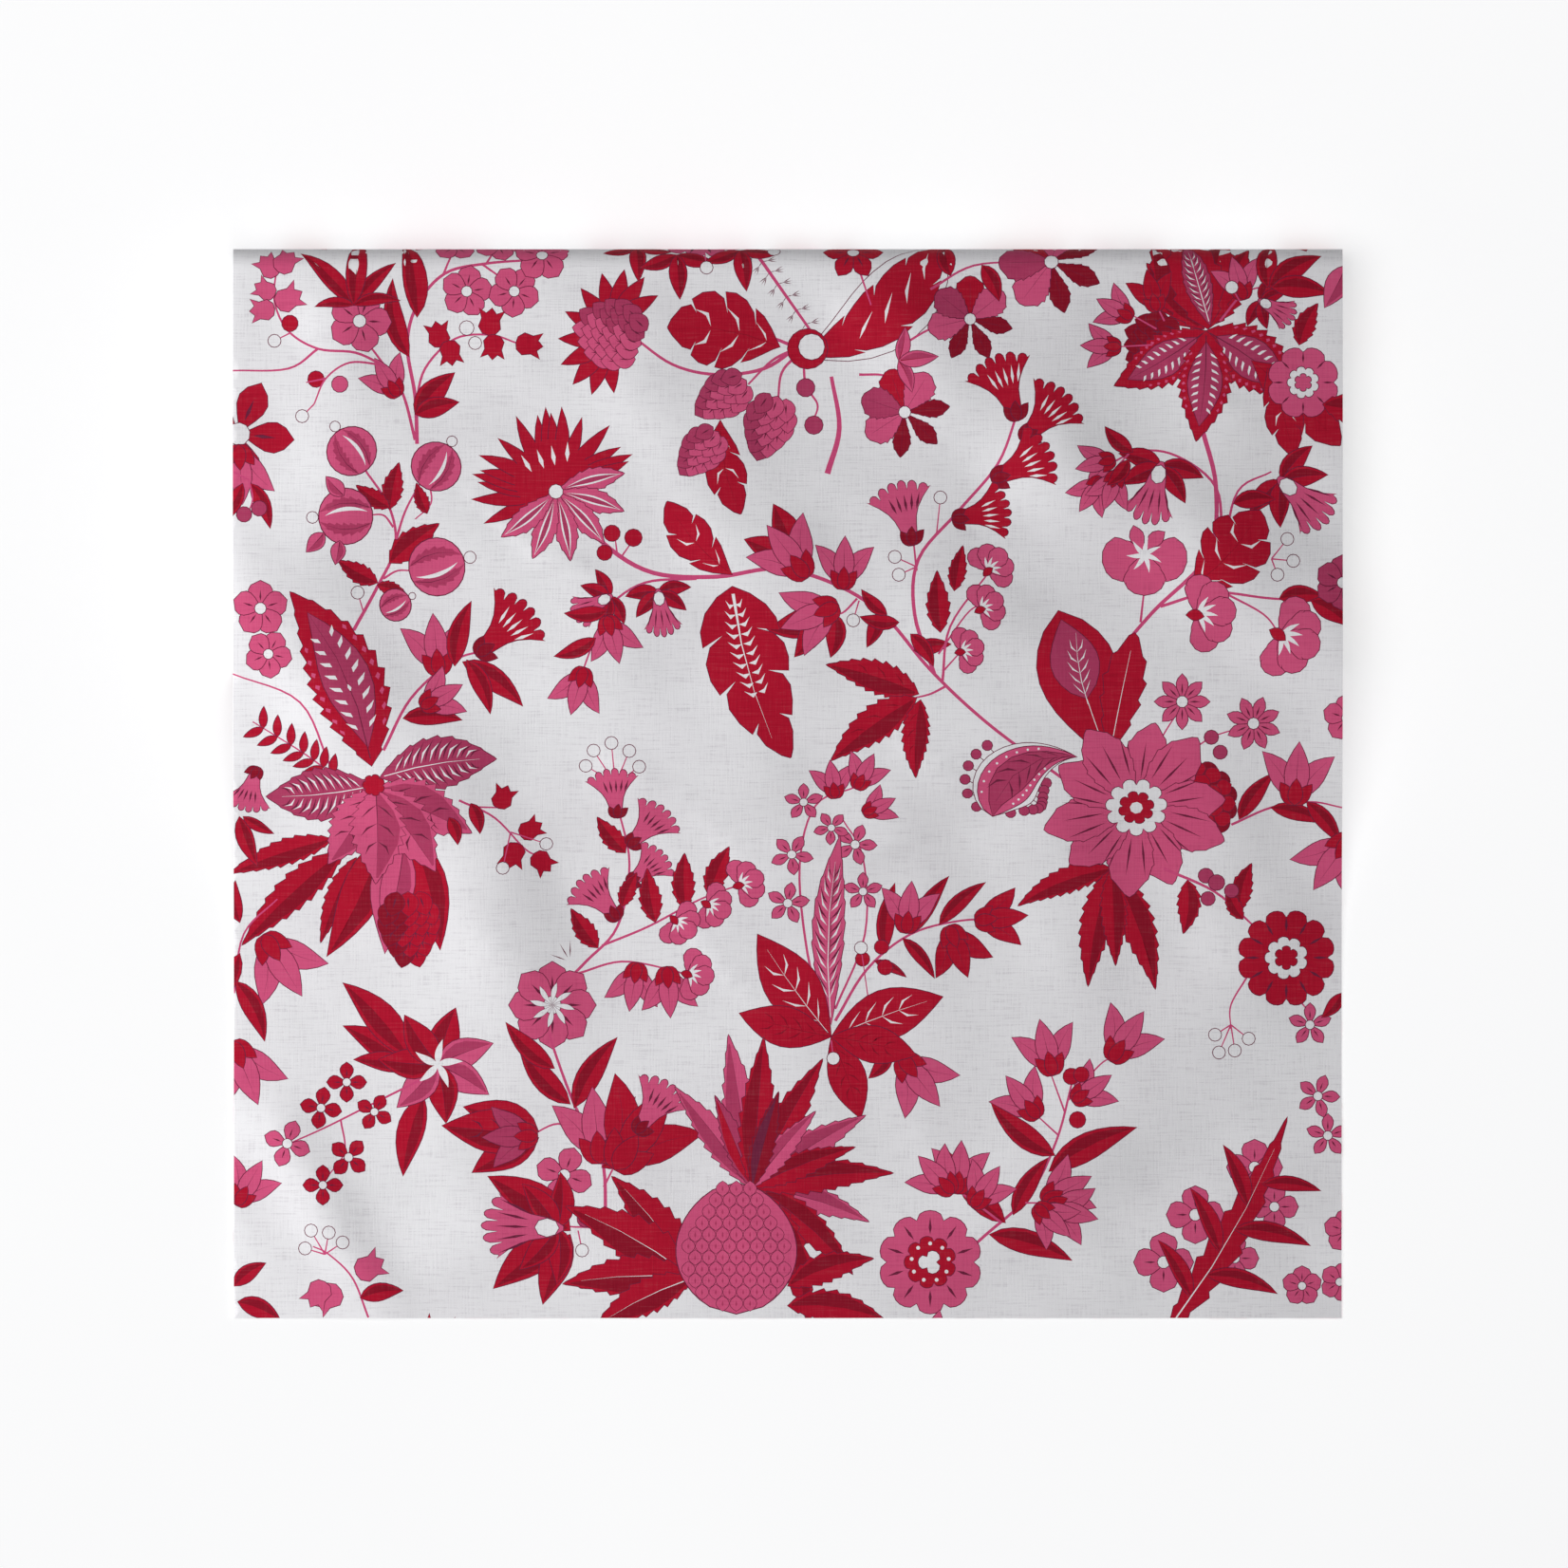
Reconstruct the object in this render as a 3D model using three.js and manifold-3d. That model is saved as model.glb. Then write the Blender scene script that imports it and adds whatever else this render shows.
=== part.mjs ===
// A part-used bolt of quilting cotton, in millimetres, +Z up.
//
// The cloth is folded double along its length and wound round a flat cardboard board. The last length of it
// is drawn off over the top of the bolt and laid flat on the table. +X runs along the board, +Y points from
// the cut end of the cloth to the far side of the bolt, and the origin is under the middle of the whole
// object, on the table.

import * as THREE from 'three';
import { mergeVertices } from 'three/addons/utils/BufferGeometryUtils.js';
import Module from 'manifold-3d';

const wasm = await Module();
wasm.setup();

// ---- Driving dimensions ----

const GAP = 0.3; // clearance between pieces that touch

const CLOTH_WIDTH = 560; // 1120 mm cloth, folded in half
const OVERALL_DEPTH = 540; // from the cut end of the cloth to the far side of the bolt

const BOARD = { length: 552, width: 200, thickness: 14, wall: 1.5 };
const FLAP = { width: 196, thickness: 1.5 };
const LABEL = { width: 150, height: 9, thickness: 0.2 };
const TAPE = { length: 400, width: 48, thickness: 0.3, fromMiddle: 66 };
const STIFFENER = { length: 540, width: 176, height: 10.4, thickness: 1, waves: 6 };

const TURNS = 15;
const TURN_PITCH = 0.6; // two plies of cloth
const TURN_THICKNESS = 0.45; // the same two plies, less the air between one turn and the next
const CORNER_STEPS = 4; // facets in each quarter turn round the board's edge

const PLY = 0.3;
const SLOPE_RUN = 150; // how far the drawn-off cloth takes to come down to the table
const SLOPE_STEPS = 8; // facets in each of its two bends
const TURNED_END = 140; // the length at the cut end that can be turned back
const HINGE_LINE_Y = -OVERALL_DEPTH / 2 + TURNED_END;

const PIN = { shaftRadius: 0.4, shaftLength: 26, headRadius: 2, standOff: 10, spacing: 360, sides: 8 };
const PIN_BORE_RADIUS = 0.7;

// ---- Sizes worked out from them ----

const halfWidth = BOARD.width / 2;
const halfThickness = BOARD.thickness / 2;
const firstOffset = TAPE.thickness + 2 * GAP + TURN_THICKNESS / 2;
const lastOffset = firstOffset + (TURNS - 1) * TURN_PITCH;
const buildUp = lastOffset + TURN_THICKNESS / 2;
const boltHeight = BOARD.thickness + 2 * buildUp;
const boardY = OVERALL_DEPTH / 2 - buildUp - halfWidth;
const boardZ = boltHeight / 2;
const foldedThickness = 2 * PLY + GAP;

// ---- Materials ----

const cotton = new THREE.MeshStandardMaterial({ color: 0xd3d1d3, roughness: 0.9 });
const kraft = new THREE.MeshStandardMaterial({ color: 0xb08a5e, roughness: 0.95 });
const fluting = new THREE.MeshStandardMaterial({ color: 0xa47e52, roughness: 0.95 });
const paper = new THREE.MeshStandardMaterial({ color: 0xf0ede4, roughness: 0.7 });
const tapePaper = new THREE.MeshStandardMaterial({ color: 0xc9ab7c, roughness: 0.6 });
const steel = new THREE.MeshStandardMaterial({ color: 0xc8c9cc, roughness: 0.25, metalness: 1 });
const bead = new THREE.MeshStandardMaterial({ color: 0xb3123b, roughness: 0.2 });

// ---- Helpers ----

/** A named mesh. */
function piece(name, geometry, material) {
  const mesh = new THREE.Mesh(geometry, material);
  mesh.name = name;
  return mesh;
}

/** Extrudes a section drawn in (y, z) from x = from to x = to. */
function alongX(shape, from, to) {
  const geometry = new THREE.ExtrudeGeometry(shape, { depth: to - from, bevelEnabled: false });
  geometry.applyMatrix4(new THREE.Matrix4().makeBasis(
    new THREE.Vector3(0, 1, 0),
    new THREE.Vector3(0, 0, 1),
    new THREE.Vector3(1, 0, 0),
  ));
  geometry.translate(from, 0, 0);
  return geometry;
}

/** A shape through an outer line and back along an inner one. */
function band(outer, inner) {
  return new THREE.Shape([...outer, ...inner.slice().reverse()]);
}

/** A closed geometry as a manifold-3d solid. */
function toSolid(geometry) {
  const bare = geometry.clone();
  bare.deleteAttribute('normal');
  bare.deleteAttribute('uv');
  const merged = mergeVertices(bare, 1e-4);
  return new wasm.Manifold(new wasm.Mesh({
    numProp: 3,
    vertProperties: merged.attributes.position.array,
    triVerts: new Uint32Array(merged.index.array),
  }));
}

/** A manifold-3d solid as a geometry. */
function toGeometry(solid) {
  const mesh = solid.getMesh();
  const geometry = new THREE.BufferGeometry();
  geometry.setAttribute('position', new THREE.BufferAttribute(mesh.vertProperties, 3));
  geometry.setIndex(new THREE.BufferAttribute(mesh.triVerts, 1));
  geometry.computeVertexNormals();
  return geometry;
}

/** A geometry with others cut out of it. */
function cut(geometry, tools) {
  return toGeometry(tools.reduce((solid, tool) => solid.subtract(toSolid(tool)), toSolid(geometry)));
}

// ---- Pins ----

const pinXs = [-PIN.spacing / 2, PIN.spacing / 2];
const pinSurfaceY = -halfWidth - lastOffset;
const pinTipY = pinSurfaceY - PIN.standOff + PIN.shaftLength;

/** A cylinder along +Y that ends at the pin's tip, in the board's frame. */
function pinRod(x, radius, length) {
  const rod = new THREE.CylinderGeometry(radius, radius, length, PIN.sides);
  rod.translate(x, pinTipY - length / 2, 0);
  return rod;
}

const pinBores = pinXs.map((x) => pinRod(x, PIN_BORE_RADIUS, PIN.shaftLength + PIN.standOff));

function makePins() {
  return pinXs.flatMap((x, i) => {
    const head = new THREE.SphereGeometry(PIN.headRadius, 16, 12);
    head.translate(x, pinTipY - PIN.shaftLength - PIN.headRadius - GAP, 0);
    return [
      piece(`pin_${i + 1}_shaft`, pinRod(x, PIN.shaftRadius, PIN.shaftLength), steel),
      piece(`pin_${i + 1}_head`, head, bead),
    ];
  });
}

// ---- Board ----

/** A rectangle drawn about a middle point. */
function rectangle(width, height, y = 0, z = 0) {
  return new THREE.Shape([
    new THREE.Vector2(y - width / 2, z - height / 2),
    new THREE.Vector2(y + width / 2, z - height / 2),
    new THREE.Vector2(y + width / 2, z + height / 2),
    new THREE.Vector2(y - width / 2, z + height / 2),
  ]);
}

/** The folded cardboard sleeve, a flat tube open at both ends. */
function makeBoardShell() {
  const section = rectangle(BOARD.width, BOARD.thickness);
  section.holes.push(rectangle(BOARD.width - 2 * BOARD.wall, BOARD.thickness - 2 * BOARD.wall));
  const tube = alongX(section, -BOARD.length / 2, BOARD.length / 2);
  return piece('board_shell', cut(tube, pinBores), kraft);
}

/** The folded stiffener inside the sleeve, a row of flat-topped waves. */
function makeStiffener() {
  const { waves, width, height, thickness, length } = STIFFENER;
  const pitch = width / waves;
  const flat = pitch * 0.22;
  const rise = height - thickness;
  const line = [];
  for (let i = 0; i < waves; i += 1) {
    const y = -width / 2 + i * pitch;
    line.push([y, 0], [y + flat, 0], [y + pitch / 2, rise], [y + pitch / 2 + flat, rise]);
  }
  line.push([width / 2, 0]);
  const lower = line.map(([y, z]) => new THREE.Vector2(y, z - height / 2));
  const upper = line.map(([y, z]) => new THREE.Vector2(y, z - height / 2 + thickness));
  return piece('board_stiffener', alongX(band(lower, upper), -length / 2, length / 2), fluting);
}

/** A flap that closes one end of the sleeve. side is -1 on the left and 1 on the right. */
function makeEndFlap(name, side) {
  const height = BOARD.thickness - GAP;
  const near = BOARD.length / 2 + GAP;
  const section = rectangle(FLAP.width, height, 0, -GAP / 2);
  const ends = [side * near, side * (near + FLAP.thickness)].sort((a, b) => a - b);
  return piece(name, alongX(section, ...ends), kraft);
}

/** The paper label stuck on the right-hand flap. */
function makeEndLabel() {
  const near = BOARD.length / 2 + GAP + FLAP.thickness + GAP;
  const section = rectangle(LABEL.width, LABEL.height, 0, -GAP / 2);
  return piece('end_label', alongX(section, near, near + LABEL.thickness), paper);
}

/** The paper tape, sticky on both sides, that holds the start of the cloth to the underside of the board. */
function makeStartTape() {
  const z = -halfThickness - GAP - TAPE.thickness / 2;
  const section = rectangle(TAPE.width, TAPE.thickness, -TAPE.fromMiddle, z);
  return piece('start_tape', alongX(section, -TAPE.length / 2, TAPE.length / 2), tapePaper);
}

// ---- Wound cloth ----

/**
 * One side of the spiral, as points in (y, z) about the board's middle. It starts on the near side, under
 * the board's edge. Each turn follows the board at its own offset, with a quarter circle round each edge, and
 * steps out to the next on the near side.
 */
function spiralSide(shift) {
  const edges = [
    { y: -halfWidth, z: -halfThickness, from: Math.PI },
    { y: halfWidth, z: -halfThickness, from: 1.5 * Math.PI },
    { y: halfWidth, z: halfThickness, from: 0 },
    { y: -halfWidth, z: halfThickness, from: 0.5 * Math.PI },
  ];
  const points = [];
  for (let turn = 0; turn < TURNS; turn += 1) {
    const radius = firstOffset + turn * TURN_PITCH + shift;
    edges.forEach((edge, i) => {
      const leaves = turn === TURNS - 1 && i === edges.length - 1; // the last run leaves straight on
      for (let k = 0; k <= (leaves ? 0 : CORNER_STEPS); k += 1) {
        const angle = edge.from + (k / CORNER_STEPS) * (Math.PI / 2);
        points.push(new THREE.Vector2(edge.y + radius * Math.cos(angle), edge.z + radius * Math.sin(angle)));
      }
    });
  }
  return points;
}

function makeWoundCloth() {
  const section = band(spiralSide(TURN_THICKNESS / 2), spiralSide(-TURN_THICKNESS / 2));
  const cloth = alongX(section, -CLOTH_WIDTH / 2, CLOTH_WIDTH / 2);
  return piece('wound_cloth', cut(cloth, pinBores), cotton);
}

// ---- Drawn-off cloth ----

/**
 * The line midway between the two plies, from the bolt's top edge down to the hinge line, with the upward
 * normal at each point. It is two equal arcs, one bending down and one levelling out, and then a flat.
 */
function drawnOffLine() {
  const top = boltHeight + GAP / 2;
  const bottom = foldedThickness / 2;
  const startY = boardY - halfWidth - GAP;
  const halfRun = SLOPE_RUN / 2;
  const halfDrop = (top - bottom) / 2;
  const bend = 2 * Math.atan(halfDrop / halfRun);
  const radius = halfRun / Math.sin(bend);
  const line = [];
  for (let i = 0; i <= SLOPE_STEPS; i += 1) {
    const a = (bend * i) / SLOPE_STEPS;
    line.push({ y: startY - radius * Math.sin(a), z: top - radius * (1 - Math.cos(a)), tilt: a });
  }
  for (let i = SLOPE_STEPS - 1; i >= 0; i -= 1) {
    const a = (bend * i) / SLOPE_STEPS;
    line.push({ y: startY - SLOPE_RUN + radius * Math.sin(a), z: bottom + radius * (1 - Math.cos(a)), tilt: a });
  }
  line.push({ y: HINGE_LINE_Y + GAP / 2, z: bottom, tilt: 0 });
  return line;
}

/** The band between two heights above and below a line of points with a tilt. */
function layer(line, low, high) {
  const at = (h) => line.map(({ y, z, tilt }) => (
    new THREE.Vector2(y - h * Math.sin(tilt), z + h * Math.cos(tilt))
  ));
  return band(at(high), at(low));
}

/** Cloth folded double along a line: two plies, joined by the fold on the left and open on the right. */
function foldedDouble(name, line) {
  const whole = alongX(layer(line, -foldedThickness / 2, foldedThickness / 2), -CLOTH_WIDTH / 2, CLOTH_WIDTH / 2);
  const first = line[0];
  const last = line[line.length - 1];
  const past = [{ ...first, y: first.y + 1 }, ...line, { ...last, y: last.y - 1 }];
  const between = alongX(layer(past, -GAP / 2, GAP / 2), -CLOTH_WIDTH / 2 + PLY, CLOTH_WIDTH / 2 + 1);
  return piece(name, cut(whole, [between]), cotton);
}

function makeTurnedEnd() {
  const z = foldedThickness / 2;
  return foldedDouble('turned_end', [
    { y: HINGE_LINE_Y - GAP / 2, z, tilt: 0 },
    { y: -OVERALL_DEPTH / 2, z, tilt: 0 },
  ]);
}

// ---- Assembly ----

const board = new THREE.Group();
board.position.set(0, boardY, boardZ);
board.add(
  makeBoardShell(),
  makeStiffener(),
  makeEndFlap('left_end_flap', -1),
  makeEndFlap('right_end_flap', 1),
  makeEndLabel(),
  makeStartTape(),
  makeWoundCloth(),
  ...makePins(),
);

const bolt = new THREE.Group();
bolt.add(board, foldedDouble('loose_end', drawnOffLine()), makeTurnedEnd());

export default bolt;
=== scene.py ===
"""A part-used bolt of printed quilting cotton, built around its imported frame, in metres.

The cloth is folded double and wound on a cardboard board. The last length of it is drawn off over the top of
the bolt and laid flat. The print is drawn here as flat shapes on the cloth, in centimetres, and becomes part
of the cloth's own mesh.
"""

from __future__ import annotations

import logging
import math
from dataclasses import dataclass, field
from enum import Enum
from functools import wraps
from typing import Callable

import bmesh
import bpy
import numpy as np
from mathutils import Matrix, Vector
from mathutils.geometry import delaunay_2d_cdt

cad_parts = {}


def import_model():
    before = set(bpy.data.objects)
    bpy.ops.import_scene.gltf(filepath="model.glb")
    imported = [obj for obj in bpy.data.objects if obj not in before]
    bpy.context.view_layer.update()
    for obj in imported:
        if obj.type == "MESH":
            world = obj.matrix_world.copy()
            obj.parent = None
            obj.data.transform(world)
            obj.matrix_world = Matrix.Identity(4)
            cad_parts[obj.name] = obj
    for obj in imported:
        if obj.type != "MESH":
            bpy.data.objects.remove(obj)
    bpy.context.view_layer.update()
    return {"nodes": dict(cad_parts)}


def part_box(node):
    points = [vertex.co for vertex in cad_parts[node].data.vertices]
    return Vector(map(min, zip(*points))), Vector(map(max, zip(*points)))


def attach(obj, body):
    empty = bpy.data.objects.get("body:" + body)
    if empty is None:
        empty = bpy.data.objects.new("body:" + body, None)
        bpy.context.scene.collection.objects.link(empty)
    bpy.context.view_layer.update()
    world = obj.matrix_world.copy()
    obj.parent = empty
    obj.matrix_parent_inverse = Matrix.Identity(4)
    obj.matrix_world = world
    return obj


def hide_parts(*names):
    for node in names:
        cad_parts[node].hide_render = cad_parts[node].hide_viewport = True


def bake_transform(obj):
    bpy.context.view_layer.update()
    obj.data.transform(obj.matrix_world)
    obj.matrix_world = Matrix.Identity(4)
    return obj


LOG = logging.getLogger("fabric_bolt")
Points = np.ndarray
Colour = tuple[float, float, float]


# ---------------------------------------------------------------------------------------------------------
# The print: inks, drawing and motifs
# ---------------------------------------------------------------------------------------------------------


class Ink(Enum):
    """The cloth's ground and the inks printed on it, by their place in the palette."""

    GROUND = 0
    PINK = 1
    ROSE = 2
    STEM = 3
    CRIMSON = 4
    DEEP = 5
    LINE = 6


GROUND, PINK, ROSE, STEM, CRIMSON, DEEP, LINE = Ink
PALETTE: dict[Ink, Colour] = {
    GROUND: (0.645, 0.640, 0.655),
    PINK: (0.500, 0.066, 0.160),
    ROSE: (0.330, 0.032, 0.092),
    STEM: (0.470, 0.052, 0.150),
    CRIMSON: (0.345, 0.0012, 0.018),
    DEEP: (0.205, 0.001, 0.013),
    LINE: (0.120, 0.009, 0.034),
}
SHADE = {CRIMSON: DEEP, PINK: ROSE, ROSE: CRIMSON, DEEP: LINE}  # a leaf's dark half
EDGE = 0.042  # the printed outline's width, in centimetres


@dataclass(frozen=True)
class Spot:
    """A place on the cloth to draw a motif at, in centimetres.

    u runs from the fold to the selvedge, and v from the far edge to the cut end. turn is the way the motif
    grows, in degrees clockwise from straight towards the far edge, and size is the motif's length.
    """

    u: float
    v: float
    turn: float = 0.0
    size: float = 1.0

    def place(self, points: Points) -> Points:
        """Turns, scales and moves points drawn in the motif's own frame onto the cloth.

        Args:
            points: an (n, 2) array, with x to the right and y the way the motif grows.

        Returns:
            The same points as (u, v).
        """
        angle = math.radians(self.turn)
        sine, cosine = math.sin(angle), math.cos(angle)
        x, y = points[:, 0] * self.size, points[:, 1] * self.size
        return np.column_stack((self.u + x * cosine + y * sine, self.v + x * sine - y * cosine))

    def step(self, x: float, y: float, turn: float = 0.0, size: float = 1.0) -> Spot:
        """A spot given in this spot's own frame.

        Args:
            x: the distance to the right, in units of this spot's size.
            y: the distance along the growth, in the same units.
            turn: the extra turn, in degrees.
            size: the new size, as a share of this one.

        Returns:
            The spot.
        """
        u, v = self.place(np.array([[x, y]]))[0]
        return Spot(float(u), float(v), self.turn + turn, self.size * size)


@dataclass(frozen=True)
class Blade:
    """A leaf or petal of unit length: a spine that turns evenly, with a half width that swells and closes.

    At a share t of its length the spine heads bend * t, so it is an arc of a circle. The half width is
    width / 2 * sin(pi * t ** p) ** blunt, where p puts the widest place at belly. Teeth are a sawtooth on the
    half width, and lobes are rounded swells in it that end in a point leaning over the next one.
    """

    width: float = 0.36
    belly: float = 0.45
    bend: float = 0.4
    blunt: float = 1.0
    teeth: int = 0
    lobes: int = 0
    depth: float = 0.3
    steps: int = 10

    def at(self, t: Points, across: Points | float) -> Points:
        """Points of the blade from the share of its length and the share of its half width.

        Args:
            t: shares of the length, 0 at the base and 1 at the tip.
            across: shares of the half width, -1 on the left edge and 1 on the right.

        Returns:
            An (n, 2) array.
        """
        heading = self.bend * t
        turn = self.bend if abs(self.bend) > 1e-3 else 1e-3
        spine = np.column_stack((1 - np.cos(turn * t), np.sin(turn * t))) / turn
        power = math.log(0.5) / math.log(self.belly)
        half = self.width / 2 * np.clip(np.sin(np.pi * np.clip(t, 0, 1) ** power), 0, 1) ** self.blunt
        side = half * across
        return spine + np.column_stack((np.cos(heading) * side, -np.sin(heading) * side))

    def outline(self) -> Points:
        """The blade's edge, up its right side and down its left, as an (n, 2) array."""
        if self.teeth:
            tooth = np.repeat(np.arange(self.teeth), 2) + np.tile((0.0, 0.82), self.teeth)
            t = np.append(tooth / self.teeth, 1.0)
            reach = np.append(np.tile((1 - self.depth, 1.0), self.teeth), 1.0)
        elif self.lobes:
            lobe = np.repeat(np.arange(self.lobes), 5) + np.tile((0.0, 0.2, 0.5, 0.85, 1.16), self.lobes)
            t = np.append(np.clip(lobe / self.lobes, 0, 1), 1.0)
            reach = np.append(np.tile((1 - self.depth, 1 - self.depth / 3, 1.0, 1.04, 1.0), self.lobes), 1.0)
        else:
            t = np.linspace(0.0, 1.0, self.steps + 1)
            reach = np.ones_like(t)
        return np.vstack((self.at(t, reach), self.at(t[-2:0:-1], -reach[-2:0:-1])))

    def half(self, share: float) -> Points:
        """The left half of the blade up to a share of its half width, as an (n, 2) array."""
        t = np.linspace(0.04, 0.94, 6)
        return np.vstack((self.at(t, 0.0), self.at(t[::-1], -share * np.sin(np.pi * t[::-1]) ** 0.3)))

    def panel(self, start: float, end: float, share: float) -> Points:
        """A smaller leaf shape inside the blade.

        Args:
            start: where it begins, as a share of the length.
            end: where it ends.
            share: how much of the half width it takes.

        Returns:
            Its edge as an (n, 2) array.
        """
        along = np.linspace(0.0, 1.0, 9)
        swell = share * np.sin(np.pi * along) ** 0.6
        t = start + (end - start) * along
        return np.vstack((self.at(t, swell), self.at(t[-2:0:-1], -swell[-2:0:-1])))


def disc(radius: float, count: int = 12, stretch: float = 1.0) -> Points:
    """A disc or an ellipse about the origin.

    Args:
        radius: half its width.
        count: points on its edge.
        stretch: its height over its width.

    Returns:
        Its edge: radius * (cos a, stretch * sin a) for even steps of a.
    """
    angle = np.linspace(0.0, 2 * np.pi, count, endpoint=False)
    return radius * np.column_stack((np.cos(angle), stretch * np.sin(angle)))


def scalloped(radius: float, lobes: int, depth: float) -> Points:
    """A disc with a scalloped edge.

    Args:
        radius: the radius at the tops of the scallops.
        lobes: how many scallops.
        depth: how far the edge dips between them, as a share of the radius.

    Returns:
        Its edge: the radius falls by depth * (1 - sqrt(|sin(lobes * a / 2)|)).
    """
    angle = np.linspace(0.0, 2 * np.pi, 6 * lobes, endpoint=False)
    reach = radius * (1 - depth * (1 - np.sqrt(np.abs(np.sin(lobes * angle / 2)))))
    return np.column_stack((reach * np.cos(angle), reach * np.sin(angle)))


def tick(x: float, y: float, turn: float, length: float, width: float) -> Points:
    """A short tapered pen stroke.

    Args:
        x: where it starts, to the right.
        y: where it starts, along the growth.
        turn: its direction, in radians clockwise from the growth.
        length: its length.
        width: its greatest width.

    Returns:
        A kite of four points.
    """
    along = np.array((math.sin(turn), math.cos(turn)))
    across = np.array((along[1], -along[0])) * width / 2
    start = np.array((x, y))
    middle = start + 0.4 * length * along
    return np.array((start, middle + across, start + length * along, middle - across))


def fan(spread: float, waist: float, lobes: int, depth: float) -> Points:
    """A fan-shaped flower of unit length: a narrow tube that flares to a scalloped top.

    Args:
        spread: half its width at the top.
        waist: half the tube's width.
        lobes: scallops along the top.
        depth: how far the edge dips between them.

    Returns:
        Its edge. The side's half width is waist + (spread - waist) * t ** 3, and the top is an arc.
    """
    t = np.linspace(0.0, 1.0, 7)
    half = waist * np.minimum(1, 4 * t + 0.2) + (spread - waist) * t**3
    rise = 0.8 * t
    across = np.linspace(1.0, -1.0, 6 * lobes + 1)[1:-1]
    scallop = depth * (np.sqrt(np.abs(np.sin(np.pi * lobes * (across + 1) / 2))) - 1)
    top = np.column_stack((spread * across * (1 + scallop), 0.8 + 0.2 * (1 - across**2) + scallop))
    right = np.column_stack((half, rise))
    return np.vstack((right, top, right[::-1] * (-1, 1)))


def grow(points: Points, by: float) -> Points:
    """Moves an outline's points outwards, each along the mean of its two edges' normals.

    Args:
        points: a closed outline.
        by: the distance.

    Returns:
        The larger outline.
    """
    ahead = np.roll(points, -1, axis=0) - points
    area = np.sum(points[:, 0] * np.roll(points[:, 1], -1) - np.roll(points[:, 0], -1) * points[:, 1])
    normal = np.column_stack((ahead[:, 1], -ahead[:, 0])) * np.sign(area)
    normal /= np.maximum(np.linalg.norm(normal, axis=1, keepdims=True), 1e-9)
    both = normal + np.roll(normal, 1, axis=0)
    both /= np.maximum(np.linalg.norm(both, axis=1, keepdims=True), 0.5)
    return points + by * both


@dataclass(frozen=True)
class Stem:
    """A drawn stem: a smooth curve through given points on the cloth."""

    line: Points

    def spot(self, t: float, turn: float = 0.0, size: float = 1.0) -> Spot:
        """A spot on the stem.

        Args:
            t: how far along the stem, 0 to 1.
            turn: the motif's turn away from the stem's direction, in degrees clockwise.
            size: the motif's length.

        Returns:
            The spot.
        """
        place = t * (len(self.line) - 1)
        i = min(int(place), len(self.line) - 2)
        ahead = self.line[i + 1] - self.line[i]
        u, v = self.line[i] + (place - i) * ahead
        heading = math.degrees(math.atan2(ahead[0], -ahead[1]))
        return Spot(float(u), float(v), heading + turn, size)


def motif(draw: Callable[..., None]) -> Callable[..., None]:
    """Lets a motif be drawn at several places.

    Args:
        draw: the method that draws it at one spot.

    Returns:
        A method that takes the spots first, each as a Spot or as (u, v, turn, size), and then the motif's choices.
    """
    @wraps(draw)
    def draw_each(artwork: Artwork, *given: object, **choices: object) -> None:
        """Draws the motif at each spot."""
        spots = [place for place in given if isinstance(place, (Spot, tuple))]
        for place in spots:
            draw(artwork, place if isinstance(place, Spot) else Spot(*place), *given[len(spots):], **choices)

    return draw_each


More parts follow.
